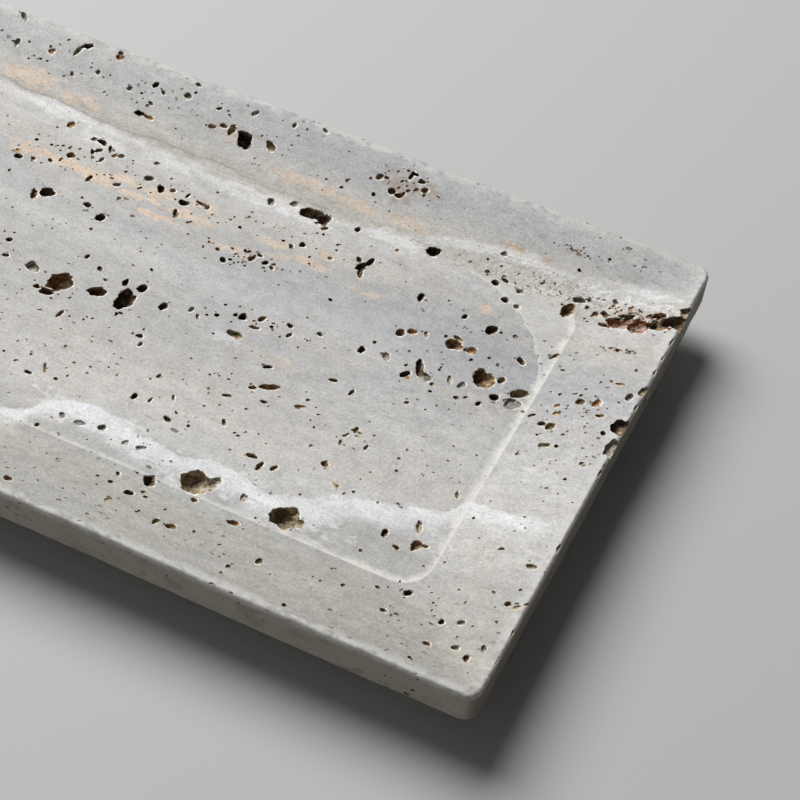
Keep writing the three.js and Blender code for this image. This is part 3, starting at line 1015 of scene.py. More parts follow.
FLOOR_RIGHT = (
    (81.6, 51.4, 3.8, 3, 2.4, 25, DARK), (85.6, 35, 3.2, 1.6, 2.2, 95, DARK),
    (86.5, 21, 2.3, 2, 1.8, 50, UMBER), (89, 22.8, 2.8, 2, 1.4, 20, OCHRE),
    (92.3, 23.8, 2.4, 1, 0.8, -60, OCHRE), (86.8, 12, 3, 1.6, 1, -60, GREY),
    (80.4, 11.1, 2.3, 1.9, 2, 80, DARK), (93.5, 9, 2.8, 1.4, 1.6, 60, DARK),
    (95.8, 12.6, 5.4, 2, 2.4, -65, DARK), (98, 10.4, 3.4, 2.8, 1.5, -10, GREY),
    (98.4, 34.1, 1.9, 1.2, 1.6, 70, DARK), (100.4, 49, 2.2, 1.4, 1.8, -30, DARK),
    (105.1, 44.6, 2, 1.7, 2.2, 0, DARK), (107.3, 49, 1.8, 1.4, 1, 0, GREY),
    (108.6, 43.9, 1.7, 1.5, 0.7, 0, OLIVE), (102.4, 50.8, 2.2, 1, 1.2, -10, UMBER),
    (97, 51.4, 1.5, 1.2, 1, 0, GREY), (100.2, 24, 4.6, 3.8, 2.6, 10, UMBER),
    (100, 26.4, 2.6, 1.4, 1, -20, OCHRE), (104.8, 24.3, 2.8, 2.4, 1.4, 20, OCHRE),
    (106.3, 33.2, 3.4, 2.6, 2.4, 65, DARK), (108.8, 33.6, 1, 0.9, 1, 0, DARK),
    (112.5, 34.2, 1.5, 1.3, 0.6, 0, OCHRE), (117.4, 27, 2.2, 1.6, 2, -60, DARK),
    (111, 17, 5.8, 4.6, 3.2, -35, UMBER), (115.4, 18.8, 2.7, 1.6, 1.4, 75, OLIVE),
    (116.1, 12.7, 2.3, 2, 1.8, 10, DARK), (121.2, 16.6, 4.4, 3, 2.6, 40, OLIVE),
    (120.8, 12.9, 4, 3.4, 1.4, 10, CHALK), (107.4, 12.4, 2.4, 2, 0.9, 60, GREY),
    (104, 12.5, 2.8, 1.3, 0.9, -65, GREY), (107.7, 8, 1.5, 1.3, 1.3, 0, UMBER),
    (113.4, 8.8, 1.8, 1, 1.2, 70, DARK),
)
FLOOR_FRONT_RIGHT = (
    (88.2, -45.4, 7.4, 6.2, 4.2, -12, OLIVE), (91.8, -45.6, 2.8, 2.4, 1.4, 40, OLIVE),
    (110.7, -38.3, 2.7, 1.4, 1.6, 100, DARK), (118.7, -38.2, 3.4, 2.2, 1.5, 80, UMBER),
    (120.6, -37.4, 1.9, 0.9, 0.8, 5, UMBER), (114.9, -40.8, 1.7, 1.2, 1.1, -20, UMBER),
    (117, -33, 3.6, 1.2, 1.1, -70, OLIVE), (108, -45.6, 1.2, 1, 0.9, 0, UMBER),
    (91, -13.5, 2.4, 1.2, 1.1, 100, OLIVE), (89.5, -16, 2, 0.8, 0.8, 60, OCHRE),
    (89.3, -18.6, 1.9, 0.8, 0.8, -70, OCHRE), (95.5, -17.2, 1.6, 0.8, 0.8, 80, UMBER),
    (84.5, -3, 2.4, 0.9, 0.9, 80, UMBER), (121, -20, 2.1, 1, 0.9, -60, OLIVE),
    (97.7, 0.6, 1.4, 1, 0.8, 30, UMBER),
)
FLOOR_MIDDLE = (
    (20, -3.2, 7.2, 4.4, 4.2, 88, DARK), (22, 2.5, 3, 2.2, 2.4, 75, DARK),
    (17.3, 2.4, 2.5, 1.4, 1.8, 100, DARK), (12.8, -4, 4.8, 2.8, 2.6, 20, DARK),
    (29.8, -0.3, 2.9, 1.7, 2, 70, DARK), (36.5, 2.3, 2.2, 1.2, 1, 80, GREY),
    (39, 0.8, 2, 0.9, 0.8, -60, GREY), (43, 3.8, 1.5, 1.2, 1.5, 0, DARK),
    (43.1, 8, 1, 0.9, 0.9, 0, DARK), (47, 6.2, 1.5, 1.3, 1.5, 0, DARK),
    (49.1, 6.5, 2.5, 1.8, 2, 85, DARK), (53.6, 8, 2.6, 1.5, 1.4, 80, UMBER),
    (53.4, 4.6, 2.3, 1.3, 1.2, 15, UMBER), (56.9, 6.9, 1.2, 1, 1.1, 0, DARK),
    (60.9, 9.6, 1.7, 1.2, 1.4, -20, DARK), (62.2, 6.6, 2, 1, 0.9, 70, OLIVE),
    (68.8, 10.6, 1.7, 1.1, 1.2, -20, DARK), (50.2, 0, 4.6, 2.2, 1.6, -8, OLIVE),
    (62.6, -5.5, 2.5, 1, 1.1, 25, DARK), (65.8, -11.4, 5.8, 1.7, 1.3, 24, UMBER),
    (62.4, -13.4, 2.2, 1.2, 1, 20, OLIVE), (67, -16.2, 1.7, 0.9, 0.9, 10, UMBER),
    (57.8, -18.9, 1.8, 1, 0.9, 20, OCHRE), (78.6, -1.6, 2.1, 1, 1, 15, UMBER),
    (31.2, -14.4, 1.7, 1, 0.9, 70, OLIVE), (38.6, -29.8, 2.5, 1.4, 1.5, 85, DARK),
    (42.6, -29.2, 1.9, 0.7, 0.8, 80, UMBER), (47.2, -25.8, 2.1, 0.7, 0.7, -65, UMBER),
    (49.2, -32.4, 2.3, 1.2, 1.2, -18, UMBER), (61.8, -26.8, 2.1, 1.1, 1, -50, UMBER),
    (54.7, -31.8, 1.2, 1, 1, -50, UMBER), (72.6, -32.8, 3.1, 1.2, 1.2, 12, UMBER),
    (75.7, -34.6, 3, 1.2, 1.2, 80, UMBER), (78.9, -33.6, 2.3, 1.2, 1.1, 70, UMBER),
    (14.8, -32.2, 2.5, 0.8, 0.8, -60, UMBER), (18.9, -34.2, 1.3, 1, 0.9, 0, UMBER),
    (12.1, -35.7, 1.9, 0.9, 0.9, 0, UMBER), (65, -46, 6.6, 6, 3.6, 70, OLIVE),
    (68.4, -44.4, 3.8, 3.2, 1.6, 60, CHALK), (36.9, -42.2, 2.1, 1.8, 1.1, 20, GREY),
    (31.5, -43.6, 3, 1.4, 0.8, 15, CHALK), (26.6, -43.5, 2.1, 1.6, 0.8, -50, CHALK),
    (48.2, -43.4, 2.6, 1.2, 0.8, 35, CHALK), (44.2, -43.6, 1.9, 1.2, 0.8, 60, CHALK),
    (77, -45, 2.6, 2, 1, -60, CHALK), (22.8, -48.9, 1.4, 1.2, 1.1, 0, UMBER),
)
FLOOR_REAR = (
    (47.2, 48.2, 5.4, 3.2, 2.6, 5, DARK), (51, 48, 4.4, 3, 3, 95, DARK),
    (41.3, 49.3, 2.2, 1.9, 1, 0, GREY), (35.7, 47, 2.7, 1.6, 1.6, -55, GREY),
    (60.5, 49, 1.8, 1.4, 1.5, 80, DARK), (67.4, 37, 3.6, 2.2, 2.6, 80, DARK),
    (68.8, 40, 3, 1.3, 1.8, 80, DARK), (65.8, 39.2, 2.2, 1.3, 1.3, -50, UMBER),
    (68.2, 34.6, 2.8, 1.4, 1.6, -70, DARK), (50.3, 36.8, 1.9, 1.6, 2, 60, DARK),
    (48, 34.9, 1.7, 1.1, 1.1, -40, DARK), (45.2, 35.8, 1.1, 0.9, 0.9, 0, DARK),
    (15.6, 35.2, 2.6, 2.2, 1.8, 10, DARK), (15.3, 38.3, 1.9, 0.8, 0.9, 85, DARK),
    (20, 37.3, 3.6, 1.1, 1, -12, UMBER), (21.9, 36.9, 1.9, 1.4, 1.2, 80, UMBER),
    (15.9, 30.5, 3.5, 1.6, 1.5, -62, OLIVE), (33, 34.5, 1.3, 1.1, 1.1, 0, DARK),
    (31.7, 24.5, 1.5, 1.2, 1, 0, UMBER), (35, 21.8, 2.1, 1.6, 1.3, -50, DARK),
    (36.4, 22.8, 1.4, 0.9, 0.8, 20, UMBER), (35, 26.6, 1.3, 0.9, 0.8, 0, UMBER),
    (41.1, 25.8, 2.6, 1.4, 1, 70, UMBER), (42.4, 28, 1.7, 1, 1, -20, DARK),
    (44.9, 26.2, 1.8, 1.5, 1.3, 60, DARK), (47.2, 25.3, 1.6, 1.1, 1, -40, UMBER),
    (65.7, 22.6, 1.5, 1, 1.1, -10, DARK), (20.6, 9.6, 1.4, 0.9, 1, -25, DARK),
)
FLOOR_LEFT = (
    (2.6, -5.8, 6.6, 5.6, 3.6, 60, UMBER), (1.4, -10.2, 3.8, 2.4, 2, 10, DARK),
    (-6.2, -4.4, 4.4, 2.8, 2, -20, GREY), (-1.6, -9.8, 1.8, 1.3, 1.4, 0, DARK),
    (8.5, -15, 2.9, 1, 1, 80, UMBER), (-16.6, 1, 2, 1.3, 1.3, 60, DARK), (4, 5.6, 1.8, 1, 1, 70, UMBER),
    (-17.6, 20.8, 3.6, 3.2, 2.6, 20, DARK), (-20.3, 18.8, 3.8, 1.6, 1.7, -65, UMBER),
    (-6, 22.2, 2.1, 1.4, 1.6, -12, DARK), (-0.5, 19.6, 3, 2.3, 2.2, 75, DARK),
    (-31.8, 29.2, 2.4, 2.1, 1.8, 0, DARK), (-27.8, 30.4, 1.6, 1.4, 1.1, 0, OCHRE),
    (-23.5, 32, 1.8, 1.2, 1.1, -20, UMBER), (-10.8, 31, 3.1, 1, 1.1, 75, UMBER),
    (-3.2, 32.6, 2.1, 1.5, 1.1, 35, GREY), (3, 39, 2.8, 1.9, 1.3, 20, OLIVE),
    (7.8, 37, 3.2, 1.9, 1.8, -60, DARK), (-15.2, 45, 3.2, 1.4, 1.6, -10, DARK),
    (-11.8, 43.8, 2.8, 1, 1.1, -62, DARK), (-15.4, 40.5, 2.1, 1.2, 1.3, -50, DARK),
    (-11.7, 39, 2.3, 1.2, 1, 80, OLIVE), (-7.8, 42.8, 2, 1.6, 1, 30, GREY),
    (2, 45, 2.2, 1.5, 0.9, 0, GREY), (-55, -12, 5.5, 4, 3, 35, UMBER), (-66, 40, 5, 2.4, 2.2, 10, DARK),
    (-72, 8, 6, 3.4, 2.8, -15, UMBER), (-86, -30, 4, 3, 2.2, 50, OLIVE), (-98, 22, 7, 4, 3.2, 20, DARK),
    (-112, -8, 4.4, 3, 2.4, 0, UMBER), (-60, 22, 4.2, 3, 2.4, 15, DARK),
    (-64.5, 20, 2.6, 1.8, 1.6, 60, UMBER), (-48, 4, 3, 2, 1.8, 80, DARK),
    (-80, 34, 3.4, 1.8, 1.6, 10, UMBER), (-90, 6, 3, 2.2, 1.8, -30, DARK),
    (-93, 3.6, 2, 1.4, 1.2, 0, OCHRE), (-104, -22, 4.4, 2.6, 2.2, 25, UMBER),
    (-76, -22, 2.8, 1.8, 1.4, 70, OLIVE), (-118, 30, 3.6, 2.4, 2, 80, DARK),
    (-62, -36, 3.2, 2, 1.6, -20, UMBER), (-108, 41, 3, 1.6, 1.4, 5, GREY),
)
BORDERS = (
    (19.7, 62, 5.8, 3.7, 4, -50, DARK), (15.1, 63, 3.4, 2, 1.6, 80, OLIVE),
    (12.4, 63.4, 2.2, 1.4, 1, 0, OLIVE), (9.4, 62, 2.4, 1.2, 1, 15, UMBER),
    (27.2, 62.8, 3.7, 2.3, 1.5, -45, OLIVE), (30, 71, 1.7, 1, 0.9, 80, OLIVE),
    (18.4, 70.4, 2.1, 1.5, 0.9, 70, GREY), (38.5, 72.8, 2.1, 1.1, 0.9, -20, GREY),
    (50.5, 59, 1.2, 1, 1.1, 0, DARK), (59.3, 60.4, 1.5, 1.2, 1.3, -40, DARK),
    (63.4, 63, 2.4, 1.9, 1.4, 0, UMBER), (65.8, 62.7, 2.8, 1.6, 1.4, 20, UMBER),
    (66.2, 69.3, 2.8, 1, 1.3, 85, DARK), (67.2, 70.2, 1.8, 0.9, 1, 0, DARK),
    (69.6, 68.8, 2.1, 1.2, 1.2, 20, DARK), (60.3, 66.3, 1.3, 1, 0.9, 0, UMBER),
    (71.8, 65.2, 1.2, 1, 0.8, 0, OLIVE), (-57, 73, 3.1, 1.4, 1.4, -40, GREY),
    (-54.3, 65, 2.6, 1.4, 1.2, 80, GREY), (-35.3, 71.4, 3.2, 1.6, 1.4, 30, DARK),
    (-37, 69, 3.6, 1.3, 1.2, 80, GREY), (-34.6, 61.8, 1.9, 1.2, 1.1, -50, GREY),
    (-28.2, 65.2, 1.7, 1.2, 1.1, -50, GREY), (-17.5, 64, 1.7, 1.4, 1.2, -40, GREY),
    (-11.4, 67.7, 2.3, 1.6, 1.6, 80, DARK), (-8.2, 66.3, 1.7, 1.1, 1, -50, GREY),
    (-1.4, 68, 2.1, 1.7, 1.1, -20, GREY), (-0.5, 72.3, 1.7, 1, 0.9, -10, GREY),
    (-11, 58, 2.7, 1.6, 1.7, 0, DARK), (-8, 57.8, 3, 1.3, 1, 0, OCHRE),
    (118.7, 61.1, 1.2, 1, 1.3, -30, DARK), (124.6, 67, 1, 0.9, 1.1, 0, DARK),
    (143.3, 27.4, 2.6, 1.1, 0.9, -8, OCHRE), (140.8, 27.8, 1.4, 0.9, 0.7, -30, OCHRE),
    (127.8, 28.7, 1.3, 1, 0.9, 0, OCHRE), (146.9, 23.4, 3.3, 1.8, 1.6, 80, GREY),
    (136.2, 18.8, 2.5, 2, 1.3, 0, OLIVE), (140.2, 19.4, 2.9, 2.1, 1.5, 75, OCHRE),
    (142.6, 15.5, 2.2, 1.2, 1.1, 5, OCHRE), (134, 21.2, 1.7, 1.1, 0.6, 20, CHALK),
    (132.5, 8.8, 2.6, 2.2, 1.4, 40, OLIVE), (145.5, 10, 1.8, 1.2, 1.2, -50, DARK),
    (126.5, 11.2, 1.7, 1, 0.7, 40, OCHRE), (124, 32.4, 3, 0.9, 0.8, 60, OCHRE),
    (136.2, 39.4, 1.5, 0.7, 0.6, -6, OLIVE), (133.7, 2.4, 3.1, 1.5, 1.1, 18, OLIVE),
    (136.5, 2.9, 1.4, 1.1, 1, -30, UMBER), (146, -35.3, 2.5, 1.5, 1.1, 0, OLIVE),
    (145.5, -47.4, 1.7, 1.5, 1.1, 0, UMBER), (122.9, -51.9, 2.2, 1.8, 1.7, 70, DARK),
    (133.6, -56.9, 1.7, 1.3, 1.5, 80, DARK), (137.8, -55.5, 1.7, 1.4, 1, 30, OLIVE),
    (116.3, -53.9, 1.5, 1.2, 1, -20, UMBER), (139.6, -62.8, 1.7, 1.5, 1.1, 0, OLIVE),
    (133.5, -64.7, 2.1, 1.2, 1, 0, UMBER), (143, -64.8, 1.7, 1.4, 1.1, 0, UMBER),
    (145.5, -61, 2, 1.1, 0.9, -70, OLIVE), (120.8, -60.2, 1.6, 1.3, 1, 0, OLIVE),
    (90, -62, 2.5, 1.5, 1.1, 80, OLIVE), (55, -51.2, 4.2, 2.6, 2.6, -58, DARK),
    (67.3, -51.3, 1.8, 1.4, 1, -40, OLIVE), (78.5, -53.2, 3.1, 1.6, 1.3, 12, UMBER),
    (53.7, -58, 2.2, 1.8, 1.6, 10, DARK), (48.1, -57, 1.5, 1.2, 1, 0, UMBER),
    (57.4, -57, 1.4, 1, 0.9, 0, UMBER), (48, -53.4, 1.7, 1, 0.9, -60, UMBER),
    (63.8, -63.3, 2.5, 1.2, 1, 80, OLIVE), (67.6, -63, 2.6, 1.8, 1, 20, OLIVE),
    (28.5, -70, 2.2, 1.7, 1.2, 0, UMBER), (-94, 60, 4.6, 3, 2.4, -30, DARK),
    (-120, -58, 4, 2.6, 2, 15, UMBER), (-134, 12, 3.4, 2, 1.6, 80, OLIVE),
    (-138, -34, 2.6, 1.6, 1.2, 20, UMBER), (-130, 38, 3, 1.8, 1.4, 60, DARK),
    (-72, 64, 3, 1.8, 1.4, 0, GREY), (-80, -60, 3, 1.6, 1.2, 10, OLIVE),
    (-40, -58, 2.4, 1.6, 1.2, 0, UMBER), (-104, 63, 2.6, 1.6, 1.4, 50, DARK),
    (150, 45.6, 2.6, 0.8, 0.6, 86, GREY), (150, 39, 2, 0.7, 0.5, 86, CHALK),
    (150, 33.4, 2.4, 0.8, 0.6, 88, GREY), (150, 20.6, 2.2, 0.8, 0.6, 88, OLIVE),
    (150, -3, 2.4, 0.8, 0.5, 88, GREY), (150, -28, 2.8, 0.8, 0.6, 88, OLIVE),
)
AREAS = (SEAM_AND_NOTCHES, FLOOR_RIGHT, FLOOR_FRONT_RIGHT, FLOOR_MIDDLE, FLOOR_REAR, FLOOR_LEFT, BORDERS)
CHOSEN_VOIDS = tuple(Void(*row) for area in AREAS for row in area)


@dataclass(frozen=True)
class Swarm:
    """A patch where small voids crowd: its middle, and their spread, number, usual length and lining."""

    x: float
    y: float
    spread_x: float
    spread_y: float
    count: int
    long: float
    lining: Lining


# The porous bed, the rear border, the floor from rear to front, the other borders and the left-hand end
SWARM_ROWS = (
    (112, 53.5, 14, 2.4, 34, 0.9, GREY), (139, 51.6, 5.5, 1.7, 44, 0.9, RUST),
    (114.5, 66, 6, 0.5, 22, 0.55, UMBER), (66, 65.5, 4.4, 2.6, 32, 0.8, UMBER),
    (30, 64, 22, 5, 26, 0.8, OLIVE), (-25, 66, 25, 4, 40, 0.8, GREY), (-18, 37, 16, 6, 55, 0.9, UMBER),
    (25, 36, 14, 4, 28, 0.8, UMBER), (57, 38, 12, 5, 26, 0.8, DARK), (40, 25, 7, 2.4, 26, 0.8, UMBER),
    (102, 17, 16, 7, 40, 0.8, UMBER), (55, 7, 10, 2, 26, 0.7, DARK), (-10, 11, 24, 8, 30, 0.7, UMBER),
    (10, -8, 16, 5, 34, 0.8, DARK), (70, -14, 28, 4.5, 40, 0.75, UMBER),
    (45, -28, 30, 5, 44, 0.75, UMBER), (100, -25, 14, 9, 18, 0.7, OLIVE),
    (-20, -25, 22, 12, 36, 0.8, UMBER), (70, -60, 40, 6, 60, 0.75, OLIVE),
    (135, -55, 9, 9, 36, 0.75, UMBER), (136, 15, 7, 9, 36, 0.8, OLIVE),
    (136, -10, 7, 10, 18, 0.7, UMBER), (-100, 0, 32, 35, 110, 0.85, UMBER),
    (-75, 17, 14, 5, 36, 0.85, DARK), (-95, -34, 18, 6, 30, 0.8, UMBER),
    (-70, -62, 30, 5, 26, 0.75, OLIVE), (-90, 64, 25, 4, 26, 0.8, GREY),
    (137.6, 39.2, 2.6, 0.3, 26, 0.75, OLIVE), (137, 53.4, 5, 1, 30, 0.9, OLIVE),
)
SWARMS = tuple(Swarm(*row) for row in SWARM_ROWS)


@dataclass
class Bubble:
    """A void's shape before it is cut.

    Its frame's columns are its half length, its half width and its depth, as vectors. No part of it lies
    further than reach from its mouth in the plane of the surface.
    """

    mouth: Vector
    frame: Matrix
    reach: float
    plug: Plug
    lining: Lining
    seed: float


def only(piece: bpy.types.Object) -> None:
    """Selects one object alone and makes it the active one.

    Args:
        piece: the object.
    """
    bpy.ops.object.select_all(action="DESELECT")
    piece.select_set(True)
    bpy.context.view_layer.objects.active = piece


@contextmanager
def editing(piece: bpy.types.Object) -> Iterator[None]:
    """Holds an object in edit mode.

    Args:
        piece: the object.

    Yields:
        Nothing, once the object is in edit mode.
    """
    only(piece)
    bpy.ops.object.mode_set(mode="EDIT")
    yield
    bpy.ops.object.mode_set(mode="OBJECT")


def pick_none(piece: bpy.types.Object, kind: str) -> None:
    """Leaves nothing of an object's mesh selected, so that code can pick some.

    Args:
        piece: the object.
        kind: what will be picked, as Blender's edit mode names it.
    """
    with editing(piece):
        bpy.ops.mesh.select_mode(type=kind)
        bpy.ops.mesh.select_all(action="DESELECT")


def places_of(mesh: bpy.types.Mesh) -> np.ndarray:
    """Reads where a mesh's vertices are.

    Args:
        mesh: the mesh.

    Returns:
        Their places as rows of three numbers.
    """
    places = np.empty(len(mesh.vertices) * 3)
    mesh.vertices.foreach_get("co", places)
    return places.reshape(-1, 3)


def move_to(mesh: bpy.types.Mesh, places: np.ndarray) -> None:
    """Writes a mesh's vertex places from rows of three numbers."""
    mesh.vertices.foreach_set("co", places.ravel())
    mesh.update()


@dataclass
class TrayBody:
    """The carved slab. Lengths are in millimetres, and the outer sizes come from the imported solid."""

    rim_face: float = 10.0
    rim_corner: float = 3.5
    ease: float = 0.8
    border: float = 25.0
    recess: float = 7.0
    crease_corner: float = 8.0
    undercut: float = 22.0
    base_corner: float = 6.0
    cell: float = 2.5
    rim_rows: int = 3
    under_rows: int = 4
    wheel_radius: float = 38.0
    wheel_rise: float = 0.06

    # The wander of hand finishing: the size of its lumps, and how far they stray at an edge and on a face
    slow_size: float = 26.0
    slow_edge: float = 0.22
    slow_face: float = 0.10
    quick_size: float = 5.0
    quick_edge: float = 0.14
    quick_face: float = 0.02
    quick_drop: float = 0.10
    edge_reach: float = 1.5
    # The base stays flat up to this height above it
    base_band: float = 1.0

    side_voids: int = 130
    under_voids: int = 60
    chips: int = 30
    smallest: float = 0.55
    # Places of voids on the rim are drawn in by this much, so that a ray from above meets the stone
    ray_inset: float = 0.3
    seed: int = 20
    seed_step: float = 7.3
    seed_range: float = 500.0

    # Small voids in swarms: how unequal they are, their width and depth as shares, their usual turn and its
    # spread, and how far inside the outline they stay
    swarm_unequal: float = 0.35
    swarm_width: tuple[float, float] = (0.55, 1.0)
    swarm_depth: tuple[float, float] = (0.4, 0.75)
    swarm_turn: tuple[float, float] = (5.0, 45.0)
    swarm_inset: float = 2.0
    # A smaller void beside some of them: how often, how far off, and its length, width and depth as shares
    twin_chance: float = 0.4
    twin_slide: float = 0.6
    twin_size: tuple[float, float, float] = (0.7, 0.6, 0.7)
    # Voids of the faces and the underside, then chips: where they lie, their usual size and spread of turn
    side_span: float = 0.49
    side_height: tuple[float, float] = (0.1, 0.9)
    side_long: float = 0.9
    side_unequal: float = 0.4
    side_width: tuple[float, float] = (0.35, 0.7)
    side_turn: float = 14.0
    chip_span: float = 0.48
    chip_inset: tuple[float, float] = (0.15, 0.6)
    chip_long: float = 1.3
    chip_unequal: float = 0.4
    chip_size: tuple[float, float] = (0.45, 0.25)
    chip_turn: float = 15.0

    # Voids longer than these have lobes, a medium plug and a large one
    lobed_from: float = 2.4
    medium_from: float = 1.5
    large_from: float = 3.3
    few_lobes: int = 2
    many_lobes: int = 4
    lobe_size: tuple[float, float] = (0.35, 0.62)
    lobe_slide: float = 0.7
    # How far a void in the upper surface leans from upright as it rises, as a share of its depth
    lean: tuple[float, float, float] = (0.6, -0.38, 0.0)
    undermined: float = 0.16
    lip: float = 0.35
    lip_slope: float = 0.4
    lip_share: float = 0.3
    steepness: float = 1.2
    lid: float = 0.7
    # What a void reaches from its mouth, as a share of its length and of its depth
    reach_long: float = 0.72
    reach_deep: float = 0.3

    # Noise on a void's wall: how often it turns within the void's half length, and how far it swells
    bulge: tuple[float, float] = (0.9, 0.36)
    fold: tuple[float, float] = (1.9, 0.36)
    fold_mean: float = 0.2
    grit: tuple[float, float] = (4.0, 0.2)
    sag: tuple[float, float] = (1.7, 0.35)
    noise_height: float = 0.8
    noise_way: tuple[float, float, float] = (1.0, 0.37, -0.71)

    # The lining: the colour and cover of the lip's painted highlight, how painted shade darkens a wall from
    # its mouth down, and how far from its mouth a wall is looked for
    lip_highlight: str = "#EDEAE3"
    lip_highlight_cover: float = 0.6
    lip_band: float = 1.5
    wall_cover: float = 0.95
    # Painted shade: a void's wall is painted lighter at its mouth and darker towards its bottom
    painted_mouth_tone: float = 1.12
    painted_depth_shade: float = 0.4
    widest: float = 7.0

    length: float = field(init=False)
    width: float = field(init=False)
    base_z: float = field(init=False)
    rim_z: float = field(init=False)
    bubbles: list[Bubble] = field(default_factory=list)

    def __post_init__(self) -> None:
        """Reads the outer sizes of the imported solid."""
        low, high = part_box("tray_body")
        self.length = (high[0] - low[0]) / MM
        self.width = (high[1] - low[1]) / MM
        self.base_z = low[2] / MM
        self.rim_z = high[2] / MM

    def build(self) -> bpy.types.Object:
        """Carves the slab, finishes it by hand and opens its voids.

        Returns:
            The finished stone.
        """
        stone = self._rough_block()
        self._ease_rim(stone)
        self._shape(stone)
        ground = BVHTree.FromPolygons(
            [v.co.copy() for v in stone.data.vertices], [p.vertices[:] for p in stone.data.polygons])
        for number, void in enumerate(CHOSEN_VOIDS):
            self._sink(ground, void, self.seed_step * number)
        self._scatter_top(ground)
        self._scatter_sides(ground)
        self._chip_rim(ground)
        self._open_voids(stone)
        depths = np.array([ground.find_nearest(vertex.co)[3] for vertex in stone.data.vertices])
        self._line_voids(stone, depths)
        self._smooth(stone, depths)
        return stone

    def _rough_block(self) -> bpy.types.Object:
        """Makes the square-edged block: a gridded top, upright sides, a sloping underside and a flat base.

        Returns:
            The block.
        """
        bpy.ops.object.select_all(action="DESELECT")
        columns, rows = round(self.length / self.cell), round(self.width / self.cell)
        bpy.ops.mesh.primitive_grid_add(
            x_subdivisions=columns, y_subdivisions=rows, size=1.0, location=(0, 0, self.rim_z * MM))
        stone = bpy.context.object
        stone.name = "tray_stone"
        stone.scale = (self.length * MM, self.width * MM, 1)
        bpy.ops.object.transform_apply(location=True, rotation=True, scale=True)
        with editing(stone):
            bpy.ops.mesh.select_all(action="SELECT")
            bpy.ops.mesh.region_to_loop()
            step_down = -self.rim_face / self.rim_rows * MM
            for _ in range(self.rim_rows):
                bpy.ops.mesh.extrude_edges_move(TRANSFORM_OT_translate={"value": (0, 0, step_down)})
            steps = self.under_rows
            drop = (self.rim_z - self.rim_face - self.base_z) / steps
            for step in range(steps):
                was, now = self.undercut * step / steps, self.undercut * (step + 1) / steps
                scale = [(side / 2 - now) / (side / 2 - was) for side in (self.length, self.width)]
                bpy.ops.mesh.extrude_edges_move(TRANSFORM_OT_translate={"value": (0, 0, -drop * MM)})
                bpy.ops.transform.resize(value=(scale[0], scale[1], 1), center_override=(0, 0, 0))
            bpy.ops.mesh.edge_face_add()
            bpy.ops.mesh.select_all(action="SELECT")
            bpy.ops.mesh.normals_make_consistent(inside=False)
        return stone

    def _ease_rim(self, stone: bpy.types.Object) -> None:
        """Rounds the rim's upper and lower edges.

        Args:
            stone: the square-edged block.
        """
        edges_at = (self.rim_z, self.rim_z - self.rim_face)
        mesh = stone.data
        places = places_of(mesh) / MM
        at_end = np.abs(np.abs(places[:, 0]) - self.length / 2) < NEAR
        at_side = np.abs(np.abs(places[:, 1]) - self.width / 2) < NEAR
        level = np.isclose(places[:, 2:3], edges_at, atol=NEAR).any(axis=1)
        chosen = (at_end | at_side) & level
        pick_none(stone, "EDGE")
        for edge in mesh.edges:
            first, second = edge.vertices
            alike = abs(places[first, 2] - places[second, 2]) < NEAR
            edge.select = bool(chosen[first] and chosen[second] and alike)
        with editing(stone):
            bpy.ops.mesh.bevel(
                offset=self.ease * MM, offset_type="OFFSET", segments=4, profile=0.5, affect="EDGES")

    def _shape(self, stone: bpy.types.Object) -> None:
        """Gives the block its round corners, its recess and the wander of hand finishing.

        Args:
            stone: the block, which is changed.
        """
        places = places_of(stone.data) / MM
        x, y, z = places.T
        inset = np.minimum(self.length / 2 - np.abs(x), self.width / 2 - np.abs(y))
        upper = z > self.rim_z - self.rim_face / 2
        out = np.clip(inset / self.border, 0, 1)
        top_radius = self.rim_corner + (self.crease_corner - self.rim_corner) * out
        floor_radius = np.maximum(self.crease_corner - (inset - self.border), NEAR)
        top_radius = np.where(inset > self.border, floor_radius, top_radius)
        under = np.clip(inset / self.undercut, 0, 1)
        under_radius = self.rim_corner + (self.base_corner - self.rim_corner) * under
        radius = np.where(upper, top_radius, under_radius)
        corner_x = self.length / 2 - inset - radius
        corner_y = self.width / 2 - inset - radius
        past_x, past_y = np.abs(x) - corner_x, np.abs(y) - corner_y
        cornered = (past_x > 0) & (past_y > 0)
        angle = np.minimum(past_x, past_y) / radius * math.pi / 4
        far, near = radius * np.cos(angle), radius * np.sin(angle)
        round_x = corner_x + np.where(past_x >= past_y, far, near)
        round_y = corner_y + np.where(past_x >= past_y, near, far)
        x = np.where(cornered, np.sign(x) * round_x, x)
        y = np.where(cornered, np.sign(y) * round_y, y)

        climb = np.clip((self.border - inset) / (self.border - self.ease), 0, 1)
        z = np.where(upper, z - self.recess * (1 - climb), z)
        wheel_x = self.length / 2 - self.border - self.wheel_radius
        wheel_y = self.width / 2 - self.border - self.wheel_radius
        swept = np.hypot(np.maximum(x - wheel_x, 0), np.maximum(y - wheel_y, 0))
        rise = self.wheel_rise * np.maximum(swept - self.wheel_radius, 0)
        z = np.where(upper & (inset >= self.border - NEAR), z + rise, z)

